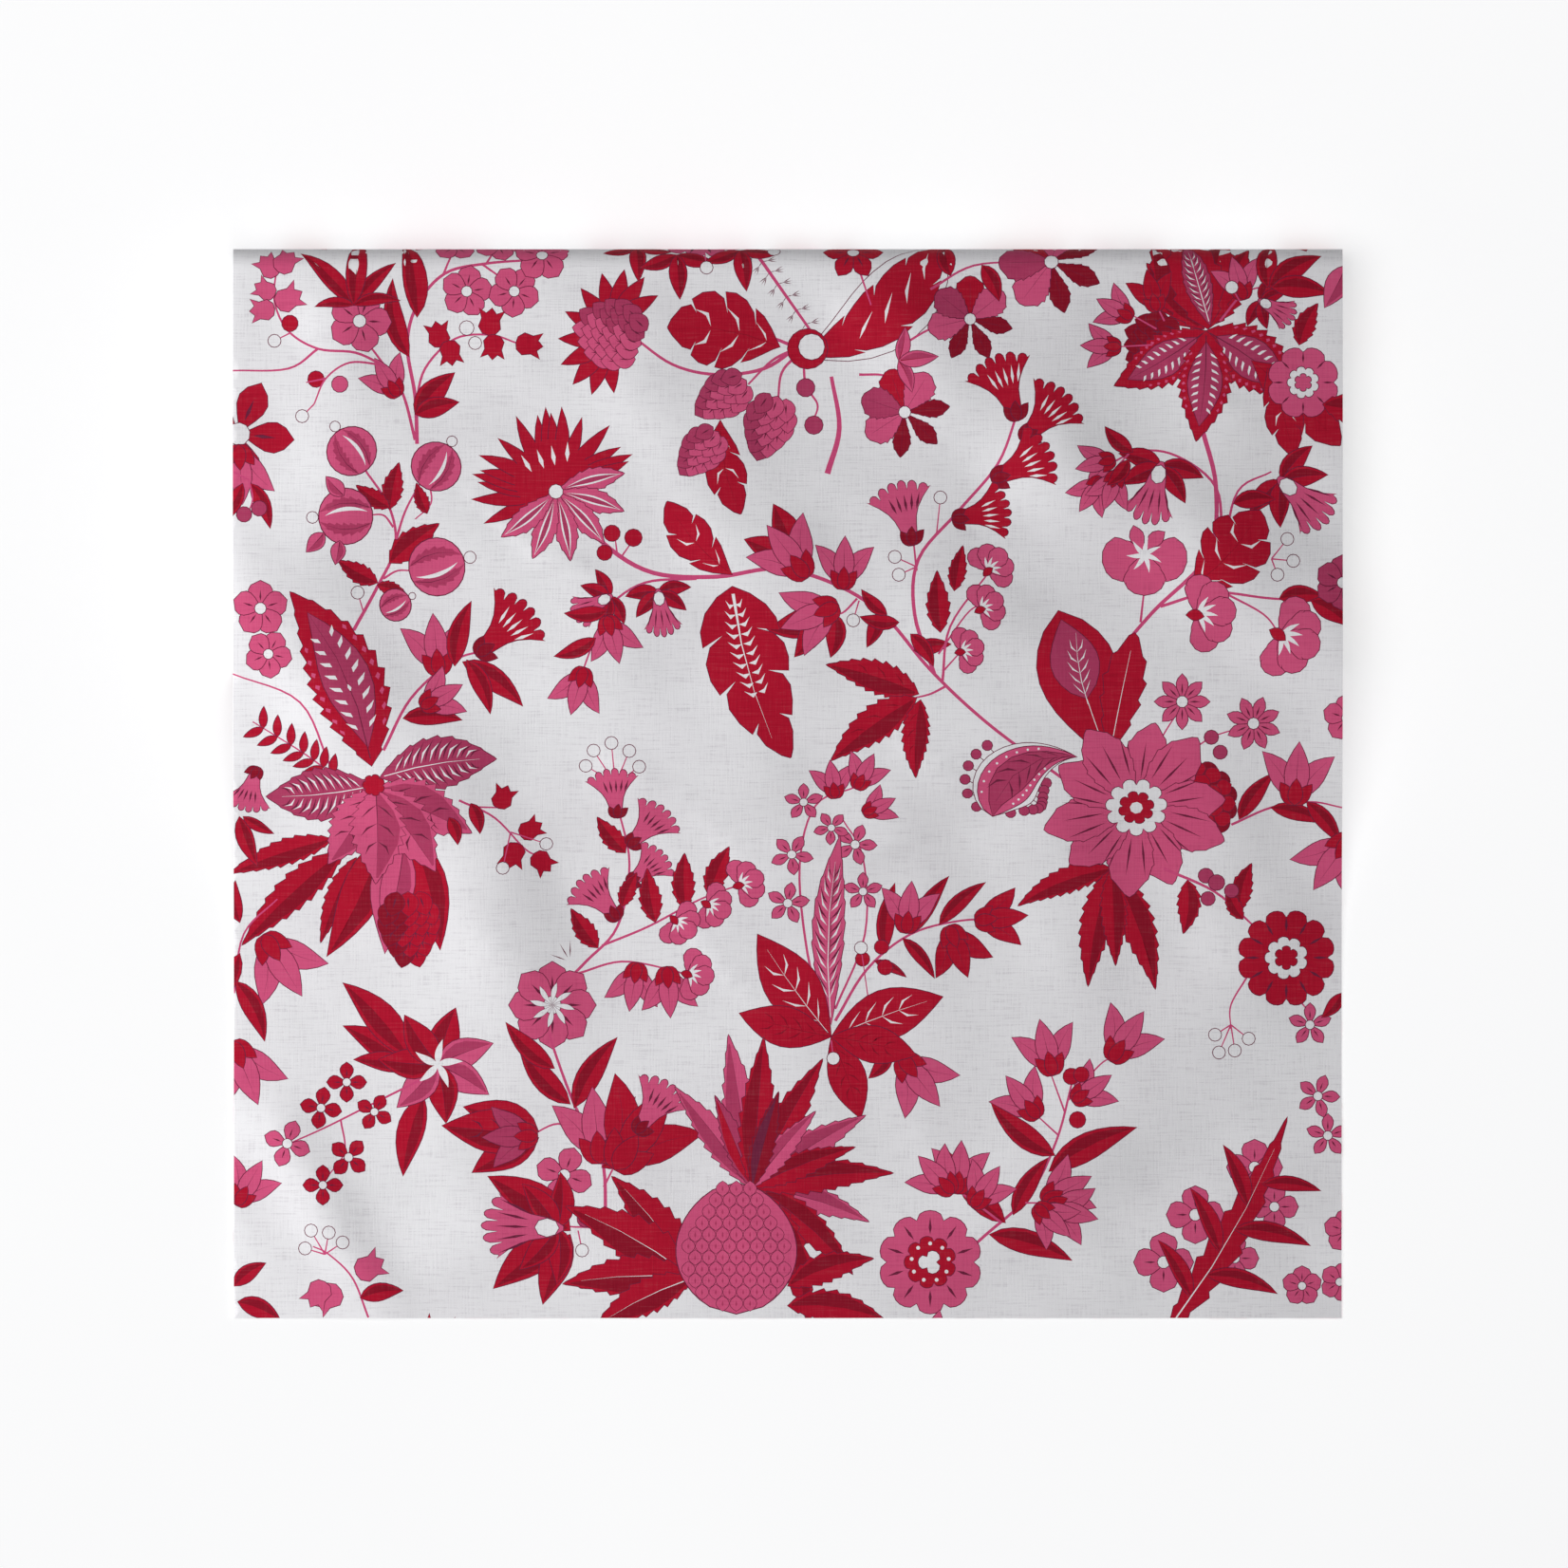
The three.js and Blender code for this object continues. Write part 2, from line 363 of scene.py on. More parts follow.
@dataclass
class Artwork:
    """The print's shapes in the order they are laid down, later ones over earlier ones."""

    shapes: list[tuple[Points, Ink]] = field(default_factory=list)

    def paint(self, spot: Spot, shape: Points | Blade, ink: Ink, edge: float = 0.0) -> None:
        """Lays down one shape.

        Args:
            spot: where to draw it.
            shape: a blade, or an outline in the motif's own frame.
            ink: its ink.
            edge: the width of a dark outline round it, in centimetres, or 0 for none.
        """
        placed = spot.place(shape.outline() if isinstance(shape, Blade) else shape)
        if edge:
            self.shapes.append((grow(placed, edge), LINE))
        self.shapes.append((placed, ink))

    def stem(self, *points: tuple[float, float], width: float = 0.17, ink: Ink = STEM) -> Stem:
        """Draws a stem that thins a little towards its end.

        Args:
            *points: the places it passes through, from its root, as (u, v).
            width: its width at the root.
            ink: its ink.

        Returns:
            The stem, a Catmull-Rom curve through the points with six steps between each two.
        """
        knots = np.array(points, float)
        knots = np.vstack((2 * knots[0] - knots[1], knots, 2 * knots[-1] - knots[-2]))
        t = np.linspace(0.0, 1.0, 6, endpoint=False)[:, None, None]
        a, b, c, d = knots[:-3], knots[1:-2], knots[2:-1], knots[3:]
        curve = b + 0.5 * t * (c - a + t * (2 * a - 5 * b + 4 * c - d + t * (3 * (b - c) + d - a)))
        line = np.vstack((np.swapaxes(curve, 0, 1).reshape(-1, 2), knots[-2]))
        ahead = np.gradient(line, axis=0)
        ahead /= np.linalg.norm(ahead, axis=1, keepdims=True)
        half = np.linspace(width / 2, width / 3.2, len(line))[:, None]
        side = np.column_stack((-ahead[:, 1], ahead[:, 0])) * half
        self.shapes.append((np.vstack((line + side, (line - side)[::-1])), ink))
        return Stem(line)

    # ---- Leaves ----

    def vein(self, spot: Spot, blade: Blade, ink: Ink, pairs: int = 0, width: float = 0.045) -> None:
        """Draws a midrib along a leaf, with side veins.

        Args:
            spot: where the leaf is.
            blade: the leaf.
            ink: the veins' ink.
            pairs: pairs of side veins.
            width: the midrib's width at its base, in centimetres.
        """
        half = width / spot.size / blade.width
        t = np.linspace(0.04, 0.86, 4)
        taper = half * (1 - t) / np.maximum(np.sin(np.pi * t), 0.2)
        self.paint(spot, np.vstack((blade.at(t, taper), blade.at(t[::-1], -taper[::-1]))), ink)
        for k in range(pairs):
            root = 0.16 + 0.6 * k / pairs
            for side in (-1.0, 1.0):
                t = np.array((root, root + 0.07, root + 0.15, root + 0.05))
                self.paint(spot, blade.at(t, side * np.array((0.0, 0.34, 0.62, 0.38))), ink)

    @motif
    def leaf(self, spot: Spot, width: float = 0.34, bend: float = 0.5, teeth: int = 0,
             ink: Ink = CRIMSON, vein: Ink | None = DEEP, pairs: int = 0) -> None:
        """A pointed leaf.

        Args:
            spot: its base.
            width: its width over its length.
            bend: its curve, in radians.
            teeth: teeth on each side.
            ink: its ink.
            vein: its midrib's ink, or None for no midrib.
            pairs: pairs of side veins.
        """
        blade = Blade(width, 0.42, bend, teeth=round(1.5 * teeth), depth=0.2, steps=8)
        self.paint(spot, blade, ink, EDGE)
        if vein is not None:
            self.paint(spot, blade.half(0.8), SHADE[ink])
            self.vein(spot, blade, vein, pairs)

    @motif
    def acanthus(self, spot: Spot, width: float = 0.62, bend: float = 0.5, lobes: int = 4) -> None:
        """A leaf with rounded lobes that lean towards its tip.

        Args:
            spot: its base.
            width: its width over its length.
            bend: its curve, in radians.
            lobes: lobes on each side.
        """
        blade = Blade(width, 0.55, bend, 0.8, lobes=lobes, depth=0.55)
        self.paint(spot, blade, CRIMSON, EDGE)
        self.vein(spot, blade, DEEP)
        for k in range(lobes - 1):
            root = (k + 0.5) / lobes
            for side in (-1.0, 1.0):
                t = np.array((root, root + 0.05, root + 0.14, root + 0.03))
                self.paint(spot, blade.at(t, side * np.array((0.05, 0.35, 0.6, 0.42))), GROUND)

    @motif
    def feather_leaf(self, spot: Spot, width: float = 0.42, bend: float = -0.6) -> None:
        """A large toothed leaf with a dark panel, and a row of pale drops along each side of its rib.

        Args:
            spot: its base.
            width: its width over its length.
            bend: its curve, in radians.
        """
        blade = Blade(width, 0.45, bend, teeth=11, depth=0.16)
        self.paint(spot, blade, CRIMSON, EDGE)
        self.paint(spot, blade.panel(0.1, 0.86, 0.62), ROSE, EDGE)
        self.vein(spot, blade, LINE, width=0.06)
        for k in range(8):
            t = 0.2 + 0.07 * k
            for side in (-1.0, 1.0):
                place = np.array((t, t + 0.02, t + 0.05, t + 0.025))
                self.paint(spot, blade.at(place, side * np.array((0.22, 0.40, 0.5, 0.24))), GROUND)
                drop = np.array((t - 0.01, t + 0.01, t + 0.025, t + 0.01))
                self.paint(spot, blade.at(drop, side * np.array((0.76, 0.84, 0.8, 0.7))), PINK)

    @motif
    def striped_leaf(self, spot: Spot, width: float = 0.46, bend: float = 0.3, ink: Ink = ROSE) -> None:
        """A broad leaf crossed by pale and dark stripes.

        Args:
            spot: its base.
            width: its width over its length.
            bend: its curve, in radians.
            ink: its ink.
        """
        blade = Blade(width, 0.5, bend, teeth=9, depth=0.1)
        self.paint(spot, blade, ink, EDGE)
        self.vein(spot, blade, GROUND, width=0.07)
        for k in range(9):
            t = 0.14 + 0.075 * k
            for side in (-1.0, 1.0):
                pale = np.array((t, t + 0.045, t + 0.10, t + 0.03))
                dark = pale + 0.035
                self.paint(spot, blade.at(pale, side * np.array((0.1, 0.45, 0.74, 0.5))), GROUND)
                self.paint(spot, blade.at(dark, side * np.array((0.1, 0.5, 0.9, 0.55))), LINE)

    @motif
    def trio(self, spot: Spot, ink: Ink = CRIMSON, width: float = 0.4) -> None:
        """Three leaves from one point.

        Args:
            spot: the point.
            ink: their ink.
            width: the width of each over its length.
        """
        for turn, size in ((-62, 0.86), (62, 0.86), (0, 1.0)):
            self.leaf(spot.step(0, 0, turn, size), width, turn / 160, ink=ink)

    # ---- Berries and fruit ----

    @motif
    def berry(self, spot: Spot, ink: Ink = CRIMSON) -> None:
        """A round berry, centred half its size along the growth. GROUND ink makes it an open ring.

        Args:
            spot: the end of its stalk.
            ink: its ink.
        """
        self.paint(spot.step(0, 0.5), disc(0.5, 12), ink, EDGE)

    @motif
    def gooseberry(self, spot: Spot) -> None:
        """A round striped fruit with a small open berry at its far end.

        Args:
            spot: where its stalk joins it.
        """
        middle = spot.step(0, 0.5)
        self.berry(spot.step(0, 1.0, 0, 0.2), GROUND)
        self.paint(middle, disc(0.5, 22, 0.96), PINK, 1.3 * EDGE)
        for bend, ink in ((-1.1, ROSE), (1.1, ROSE)):
            blade = Blade(0.26, 0.5, bend, teeth=7, depth=0.4)
            self.paint(spot.step(-0.12 * bend, 0.04, -26 * bend, 0.98), blade, ink)
            self.vein(spot.step(-0.12 * bend, 0.04, -26 * bend, 0.98), blade, LINE, width=0.05)
        pale = Blade(0.09, 0.5, -0.9)
        self.paint(spot.step(0.07, 0.1, 22, 0.8), pale, GROUND)

    @motif
    def scales(self, spot: Spot, rows: int, width: float, ink: Ink, shade: Ink) -> None:
        """An egg-shaped body of overlapping scales, of unit length.

        Args:
            spot: where its stalk joins it.
            rows: rows of scales.
            width: its width over its length.
            ink: the scales' ink.
            shade: the ink of the scales on the shaded side.
        """
        for row in range(rows - 1, -1, -1):
            rise = row / rows
            half = width / 2 * math.sin(math.pi * min(1.0, (rise + 0.22) ** 0.8 * 0.86))
            count = max(1, round(2.6 * half * rows))
            for k in range(count):
                place = (2 * (k + 0.5) / count - 1) if count > 1 else 0.0
                scale = Blade(0.8, 0.45, 0.0, 0.8, steps=8)
                tone = shade if place > 0.25 else ink
                at = spot.step(place * half * 0.8, rise * 0.72, place * 26, 1.75 / rows)
                self.paint(at, scale, tone, 0.8 * EDGE)
                self.paint(at, tick(0, 0.2, 0, 0.5, 0.08), LINE)

    @motif
    def cone(self, spot: Spot) -> None:
        """A hop cone: an egg of small scales.

        Args:
            spot: where its stalk joins it.
        """
        self.paint(spot, Blade(0.62, 0.45, 0.0, 0.6), ROSE, EDGE)
        self.scales(spot, 5, 0.66, PINK, ROSE)

    @motif
    def artichoke(self, spot: Spot) -> None:
        """A scaly bud with a ring of pointed crimson petals behind it.

        Args:
            spot: where its stalk joins it.
        """
        for k in range(11):
            turn = -125 + 25 * k
            root = spot.step(0.2 * math.sin(math.radians(turn)), 0.42, turn, 0.62)
            self.leaf(root, 0.34, 0.1, vein=None)
        self.scales(spot, 6, 0.86, PINK, ROSE)

    @motif
    def pineapple(self, spot: Spot) -> None:
        """A pineapple: an upright body of diamond scales.

        Args:
            spot: the middle of its base.
        """
        body = Blade(0.92, 0.48, 0.0, 0.52, steps=18)
        self.paint(spot, body.outline(), PINK, 1.3 * EDGE)
        for row in range(11):
            for k in range(9):
                x = (k - 4 + 0.5 * (row % 2)) * 0.105
                y = 0.02 + 0.088 * row
                room = 0.46 * math.sin(math.pi * min(1.0, (y + 0.05) ** 0.944)) ** 0.52
                if abs(x) > room - 0.05:
                    continue
                at = spot.step(x, y, 0, 0.115)
                self.paint(at, Blade(0.86, 0.5, 0.0, 0.8, steps=6), PINK, 0.7 * EDGE)
                self.paint(at, tick(0.0, 0.3, 0.0, 0.4, 0.14), ROSE)

    # ---- Buds and flowers ----

    @motif
    def bell(self, spot: Spot, ink: Ink = CRIMSON) -> None:
        """A round bud with a flared, three-toothed lip.

        Args:
            spot: where its stalk joins it.
            ink: its ink.
        """
        right = np.array(((0.24, 0.05), (0.42, 0.28), (0.34, 0.62), (0.5, 0.98), (0.2, 0.82)))
        shape = np.vstack(((0.0, 0.0), right, (0.0, 1.04), right[::-1] * (-1, 1)))
        self.paint(spot, shape, ink, EDGE)

    @motif
    def tulip(self, spot: Spot, ink: Ink = PINK) -> None:
        """A tulip seen from the side, with its cup of sepals.

        Args:
            spot: where its stalk joins it.
            ink: its petals' ink.
        """
        for turn, bend in ((-22, 0.5), (22, -0.5), (0, 0.0)):
            petal = Blade(0.4, 0.45, -bend, steps=7)
            at = spot.step(0, 0.02, turn, 1.0)
            self.paint(at, petal, ink, EDGE)
            self.vein(at, petal, LINE, width=0.04)
        for turn in (-34, 34, 0):
            self.paint(spot.step(0, -0.06, turn, 0.46), Blade(0.5, 0.4, 0.0, 0.8, steps=6), CRIMSON, EDGE)

    @motif
    def fan_flower(self, spot: Spot, ink: Ink = CRIMSON) -> None:
        """A flaring flower with a scalloped top and pale streaks in its throat.

        Args:
            spot: where its stalk joins it.
            ink: its ink.
        """
        self.paint(spot, fan(0.52, 0.12, 6, 0.14), ink, EDGE)
        for k in range(5):
            turn = (k - 1.4) * 0.17
            streak = tick(0.48 * math.sin(turn), 0.5, turn, 0.28, 0.045)
            self.paint(spot, streak, GROUND if ink is CRIMSON else LINE)
        for turn in (-38, 38, 0):
            self.paint(spot.step(0, -0.04, turn, 0.3), Blade(0.5, 0.45, steps=6), DEEP, EDGE)

    @motif
    def blossom(self, spot: Spot, petals: int = 5, ink: Ink = PINK, width: float = 0.86, blunt: float = 0.6) -> None:
        """An open flower seen from the front, one unit across.

        Args:
            spot: its middle.
            petals: how many petals.
            ink: their ink.
            width: the width of a petal over its length.
            blunt: how blunt the petals are, 1 for pointed and 0.5 for round.
        """
        petal = Blade(width, 0.62, 0.0, blunt, steps=6)
        for k in range(petals):
            at = spot.step(0, 0, 360 * k / petals, 0.5)
            self.paint(at, petal, ink, EDGE)
            self.paint(at, tick(0, 0.26, 0, 0.42, 0.07), LINE)
        self.paint(spot, disc(0.1, 10), GROUND, EDGE)

    @motif
    def half_daisy(self, spot: Spot) -> None:
        """A flower of broad toothed petals, some crimson and some pink.

        Args:
            spot: its middle.
        """
        tones = (CRIMSON, PINK, DEEP, DEEP, DEEP, PINK, ROSE)
        for k, tone in enumerate(tones):
            broad = tone is not DEEP
            petal = Blade(0.72 if broad else 0.4, 0.66, 0.0, 0.6 if broad else 1.0, teeth=7, depth=0.12)
            at = spot.step(0, 0, 360 * k / len(tones) - 20, 0.54)
            self.paint(at, petal, tone, EDGE)
            self.vein(at, petal, LINE, width=0.035)
        self.paint(spot, disc(0.07, 10), GROUND, EDGE)

    @motif
    def daisy(self, spot: Spot) -> None:
        """A large open flower of ten veined petals with a scalloped eye.

        Args:
            spot: its middle.
        """
        petals = 10
        for k in range(petals):
            petal = Blade(0.5, 0.6, 0.14 * (-1) ** k, 0.8, teeth=6 if k % 3 else 8, depth=0.08)
            at = spot.step(0, 0, 360 * k / petals, 0.48 + 0.03 * (k % 2))
            self.paint(at, petal, PINK, EDGE)
            for turn in (-0.22, 0.0, 0.22):
                self.paint(at, tick(0.5 * turn, 0.34, turn, 0.44, 0.025), LINE)
        self.paint(spot, scalloped(0.165, 11, 0.22), GROUND, EDGE)
        self.paint(spot, scalloped(0.095, 8, 0.25), CRIMSON, EDGE)
        self.paint(spot, disc(0.035, 8), GROUND)

    @motif
    def round_flower(self, spot: Spot, lobes: int = 11, ink: Ink = CRIMSON) -> None:
        """A round scalloped flower with a pale scalloped eye.

        Args:
            spot: its middle.
            lobes: how many scallops.
            ink: its ink.
        """
        self.paint(spot, scalloped(0.5, lobes, 0.16), ink, EDGE)
        for k in range(lobes):
            turn = 2 * math.pi * k / lobes
            self.paint(spot, tick(0.27 * math.sin(turn), 0.27 * math.cos(turn), turn, 0.17, 0.03), LINE)
        self.paint(spot, scalloped(0.22, 9, 0.2), GROUND, EDGE)
        self.paint(spot, scalloped(0.12, 6, 0.3), ink, EDGE)

    @motif
    def thistle(self, spot: Spot) -> None:
        """A thistle: a burst of crimson spikes above and curled pink petals below.

        Args:
            spot: its middle.
        """
        for k in range(17):
            turn = -98 + 11.5 * k
            self.paint(spot.step(0, 0, turn, 0.62 + 0.05 * (k % 2)),
                       Blade(0.17, 0.5, 0.3 * math.sin(k), steps=7).outline(), CRIMSON, EDGE)
        self.paint(spot.step(0, 0.12), disc(0.3, 14), CRIMSON)
        for turn in (-0.28, -0.08, 0.1, 0.3):
            self.paint(spot, tick(0.5 * turn, 0.2, turn, 0.16, 0.035), GROUND)
        for k in range(6):
            turn = 84 + 31 * k
            petal = Blade(0.34, 0.55, 0.25, teeth=7, depth=0.16)
            at = spot.step(0, 0, turn, 0.56)
            self.paint(at, petal, PINK, EDGE)
            self.paint(at, petal.panel(0.12, 0.95, 0.34), GROUND)
            self.paint(at, petal.panel(0.1, 0.93, 0.2), ROSE)
        self.paint(spot, disc(0.055, 10), GROUND, EDGE)

    @motif
    def lily(self, spot: Spot) -> None:
        """A nodding flower: swept-back crimson petals behind a fringed pink trumpet.

        Args:
            spot: where its stalk joins it.
        """
        for turn, bend in ((-105, 0.5), (105, -0.5), (-58, 0.3), (58, -0.3)):
            self.leaf(spot.step(0, 0.18, turn, 0.62), 0.42, bend, vein=LINE)
        self.paint(spot.step(0, 0.12, 0, 0.9), fan(0.4, 0.12, 5, 0.2), PINK, EDGE)
        for k in range(5):
            turn = (k - 2) * 0.2
            self.paint(spot, tick(0.4 * turn, 0.5, turn, 0.36, 0.03), LINE)
        self.paint(spot.step(0, 0.3), disc(0.1, 8, 1.3), GROUND, EDGE)

    @motif
    def pansy(self, spot: Spot) -> None:
        """A flower of three frilled lobes round a pale star.

        Args:
            spot: its middle.
        """
        for turn, size in ((-100, 0.55), (100, 0.55), (180, 0.52)):
            lobe = Blade(1.0, 0.62, 0.0, 0.5, lobes=3, depth=0.1)
            self.paint(spot.step(0, 0, turn, size), lobe, PINK, EDGE)
        for turn in (-35, 35):
            self.paint(spot.step(0, 0.05, turn, 0.36), Blade(0.5, 0.6, steps=6), PINK, EDGE)
        for k in range(7):
            self.paint(spot.step(0, 0, 51.4 * k, 0.24), Blade(0.26, 0.3, steps=5), GROUND)

    @motif
    def carnation(self, spot: Spot) -> None:
        """A frilled flower seen half from the side.

        Args:
            spot: where its stalk joins it.
        """
        for turn in (-78, 78, -40, 40, 0):
            lobe = Blade(0.72, 0.66, 0.0, 0.5, lobes=3, depth=0.14)
            self.paint(spot.step(0, 0.08, turn, 0.66), lobe, PINK, EDGE)
        for k in range(5):
            self.paint(spot.step(0, 0.1, -64 + 32 * k, 0.34), Blade(0.22, 0.4, steps=5), GROUND)
        self.paint(spot.step(0, -0.1, 0, 0.3), Blade(0.6, 0.5, steps=6), CRIMSON, EDGE)

    @motif
    def paisley(self, spot: Spot, bend: float) -> None:
        """A curled teardrop with a scalloped edge, ringed by balls on short stalks.

        Args:
            spot: its thin end.
            bend: its curl, in radians.
        """
        blade = Blade(0.44, 0.66, bend, 0.75, steps=18)
        for k in range(9):
            t = np.array((0.34 + 0.075 * k,))
            for side in (-1.0, 1.0):
                if side > 0 and k < 3:
                    continue
                u, v = spot.place(blade.at(t, side * 1.62))[0]
                root = spot.place(blade.at(t, side * 1.1))[0]
                self.stem(tuple(root), (float(u), float(v)), width=0.05, ink=LINE)
                self.paint(Spot(float(u), float(v), 0, 0.5), disc(0.5, 10), ROSE, EDGE)
        self.paint(spot, Blade(0.54, 0.66, bend, 0.75, steps=18), GROUND, EDGE)
        self.paint(spot, blade, PINK, EDGE)
        self.paint(spot, blade.panel(0.0, 1.0, 0.66), ROSE, EDGE)
        for k in range(8):
            for side in (-0.8, 0.8):
                spot_at = spot.place(blade.at(np.array((0.3 + 0.075 * k,)), side))[0]
                self.paint(Spot(float(spot_at[0]), float(spot_at[1]), 0, 0.13), disc(0.5, 6), GROUND)
        self.vein(spot, blade, LINE, 5, 0.06)


@dataclass
class FloralPrint(Artwork):
    """The all-over pattern: separate flowering stems that fill one repeat of the cloth."""

    def rings(self, root: tuple[float, float], *ends: tuple[float, float]) -> None:
        """Draws open berries on thin stalks from one point.

        Args:
            root: the point.
            *ends: each berry's middle.
        """
        for end in ends:
            self.stem(root, end, width=0.08)
            self.paint(Spot(*end, 0, 0.62), disc(0.5, 12), GROUND, EDGE)

    def draw_all(self) -> FloralPrint:
        """Draws every stem and returns the finished print."""
        for part in (self.tall_sprig, self.gooseberry_bush, self.edge_flower, self.thistle_vine,
            self.artichoke_spray, self.fan_spray, self.crimson_exotic, self.right_vine, self.left_exotic,
            self.lily_group, self.fan_sprig, self.slender_plant, self.great_daisy, self.right_sprigs,
            self.left_climber, self.pineapple_plant, self.tulip_sprig, self.corner_spray, self.fillers):
            part()
        return self

    def tall_sprig(self) -> None:
        """The sprig of five-petalled blossoms and bells at the top left."""
        self.stem((9.3, 10.4), (9.2, 8.0), (8.8, 5.4), (9.3, 3.4), (10.7, 1.8), (12.8, 1.3), (15.2, 1.1), width=0.2)
        self.stem((10.6, 1.9), (11.3, 0.2), width=0.12)
        self.stem((12.6, 1.35), (14.1, 2.4), width=0.12)
        self.stem((12.8, 1.3), (13.4, 0.2), width=0.12)
        self.blossom((11.8, 2.7, 10, 2.6), (14.2, 2.7, 40, 2.6), (11.2, -0.1, 0, 2.5), (13.4, -0.1, 20, 2.5),
            (15.6, 0.8, 0, 2.8))
        self.stem((9.2, 8.6), (9.7, 6.6), (11.2, 5.1), (13.0, 4.9), (14.3, 5.3), width=0.14)
        self.bell((10.5, 5.5, -12, 1.25), (10.9, 5.2, 172, 1.2), (12.9, 4.9, 8, 1.3), (13.2, 4.9, 185, 1.2),
            (14.3, 5.3, 98, 1.3))
        self.berry((11.8, 4.9, 0, 0.7), (12.2, 5.0, 175, 0.62), ink=GROUND)
        self.leaf((9.2, 8.9, 35, 2.9), (9.2, 8.9, 66, 2.3), width=0.42, bend=0.3)
        self.leaf((8.9, 6.0, -32, 4.1), 0.24, 0.7)
        self.leaf((9.3, 4.0, 2, 4.4), 0.27, -0.4)
        self.stem((9.2, 10.2), (8.7, 8.2), (8.2, 7.2), (7.4, 6.1), (6.5, 4.9), width=0.16)
        self.tulip((8.3, 7.9, -32, 2.1))
        self.blossom((6.4, 4.2, 20, 3.2))
        self.stem((7.7, 6.5), (6.2, 5.8), (4.3, 5.6), (2.8, 4.7), (2.1, 3.2), (2.2, 1.6), width=0.14)
        self.bell((2.2, 1.9, -38, 1.25), (2.3, 1.7, 35, 1.3), (2.1, 2.9, -60, 1.1), (2.2, 3.4, 62, 1.4),
            (2.1, 3.6, -95, 1.2), ink=PINK)
        self.berry((2.6, 4.6, 45, 0.8), (4.6, 7.1, -95, 0.8))
        self.berry((5.3, 7.0, 165, 0.8), ink=PINK)
        self.stem((7.5, 6.4), (5.9, 6.3), (4.7, 7.1), (4.1, 8.4), width=0.12)
        self.stem((4.7, 7.1), (3.7, 7.3), width=0.1)
        self.rings((4.1, 8.4), (3.5, 9.0))
        self.rings((2.9, 4.8), (2.1, 5.2))
        self.stem((4.3, 5.6), (2.8, 6.6), (0.0, 6.7), width=0.13)
        for turn, size in ((-34, 3.8), (34, 3.0), (64, 2.4), (4, 4.2), (-70, 2.0)):
            self.leaf((6.1, 3.4, turn, size), 0.24, turn / 90)

    def gooseberry_bush(self) -> None:
        """The stem of striped round fruit under it."""
        self.stem((6.1, 19.8), (7.3, 17.6), (8.2, 15.6), (7.9, 13.6), (6.6, 11.6), width=0.18)
        self.stem((8.2, 15.4), (8.7, 13.8), (9.5, 12.3), width=0.14)
        self.stem((8.1, 14.6), (7.6, 14.0), (6.8, 14.0), width=0.12)
        self.stem((7.6, 17.2), (8.3, 16.8), (9.1, 16.8), width=0.12)
        self.stem((9.9, 12.3), (10.0, 13.4), (9.2, 14.2), width=0.1)
        self.leaf((7.9, 13.7, 6, 2.4), (7.9, 13.6, -62, 2.0), (7.9, 16.4, 46, 3.2), (7.3, 17.4, -66, 2.3),
            (7.3, 17.5, 104, 1.6), (9.8, 13.9, -25, 1.6), teeth=4, width=0.46, bend=0.2)
        self.gooseberry((6.7, 11.8, -34, 2.5), (9.6, 12.6, 32, 2.5), (7.1, 14.0, -92, 2.8), (8.9, 17.0, 74, 2.9),
            (7.5, 18.9, 62, 1.6))
        self.leaf((5.6, 13.0, -46, 1.3), (4.6, 14.9, -140, 1.3), (5.4, 15.3, 188, 1.2),
            width=0.6, bend=0.1, ink=PINK, vein=LINE)
        self.rings((6.6, 18.9), (6.3, 17.9))

    def edge_flower(self) -> None:
        """The crimson flower that crosses the fold at the upper left."""
        self.blossom((0.3, 9.9, 24, 5.6), 5, CRIMSON, 0.55, 0.9)
        self.tulip((0.3, 10.6, 176, 2.8))
        self.leaf((0.9, 12.4, 142, 2.5), (0.5, 12.4, 200, 2.6), width=0.3)
        self.stem((0.8, 12.2), (1.0, 13.2), (0.7, 14.0), width=0.1)
        self.berry((0.7, 13.6, 200, 0.75), (1.2, 13.3, 160, 0.75), ink=ROSE)
        self.stem((0.0, 11.8), (0.8, 12.2), width=0.12)

    def thistle_vine(self) -> None:
        """The thistle and the long vine that runs from it to the great daisy."""
        vine = self.stem((17.0, 13.4), (18.8, 15.5), (21.2, 16.9), (24.4, 17.1), (27.4, 16.7), (30.2, 17.4),
            (32.8, 19.0), (35.2, 21.8), (38.0, 24.4), (42.0, 27.4), width=0.24)
        self.stem((19.4, 16.0), (19.3, 15.2), width=0.1)
        self.stem((19.6, 16.1), (20.1, 15.4), width=0.1)
        self.berry((19.2, 15.3, -10, 0.8), (20.0, 15.5, 30, 0.85), (19.0, 15.6, -140, 0.75))
        self.thistle((16.3, 12.8, -16, 6.4))
        self.acanthus((25.2, 17.0, -56, 5.0), 0.42, 0.5, 3)
        self.stem((26.6, 16.8), (27.8, 16.3), (29.0, 16.9), width=0.12)
        self.leaf((28.0, 16.2, -60, 2.4), (28.4, 16.0, -18, 2.8), width=0.5, bend=-0.2)
        self.tulip((28.9, 17.0, -38, 3.1))
        self.stem((30.6, 17.6), (30.7, 17.0), width=0.1)
        self.tulip((30.8, 17.6, 2, 2.5))
        self.stem((31.5, 18.2), (30.8, 18.9), (30.2, 19.0), width=0.12)
        self.leaf((30.0, 18.9, -120, 3.2), (29.6, 18.9, -165, 2.6), (30.4, 19.0, 172, 2.2), width=0.44)
        self.tulip((30.4, 18.6, -112, 2.9))
        self.rings((31.6, 18.3), (31.3, 19.3))
        self.stem((23.4, 17.2), (20.8, 17.4), (19.0, 18.6), (18.2, 20.4), (17.6, 22.0), width=0.14)
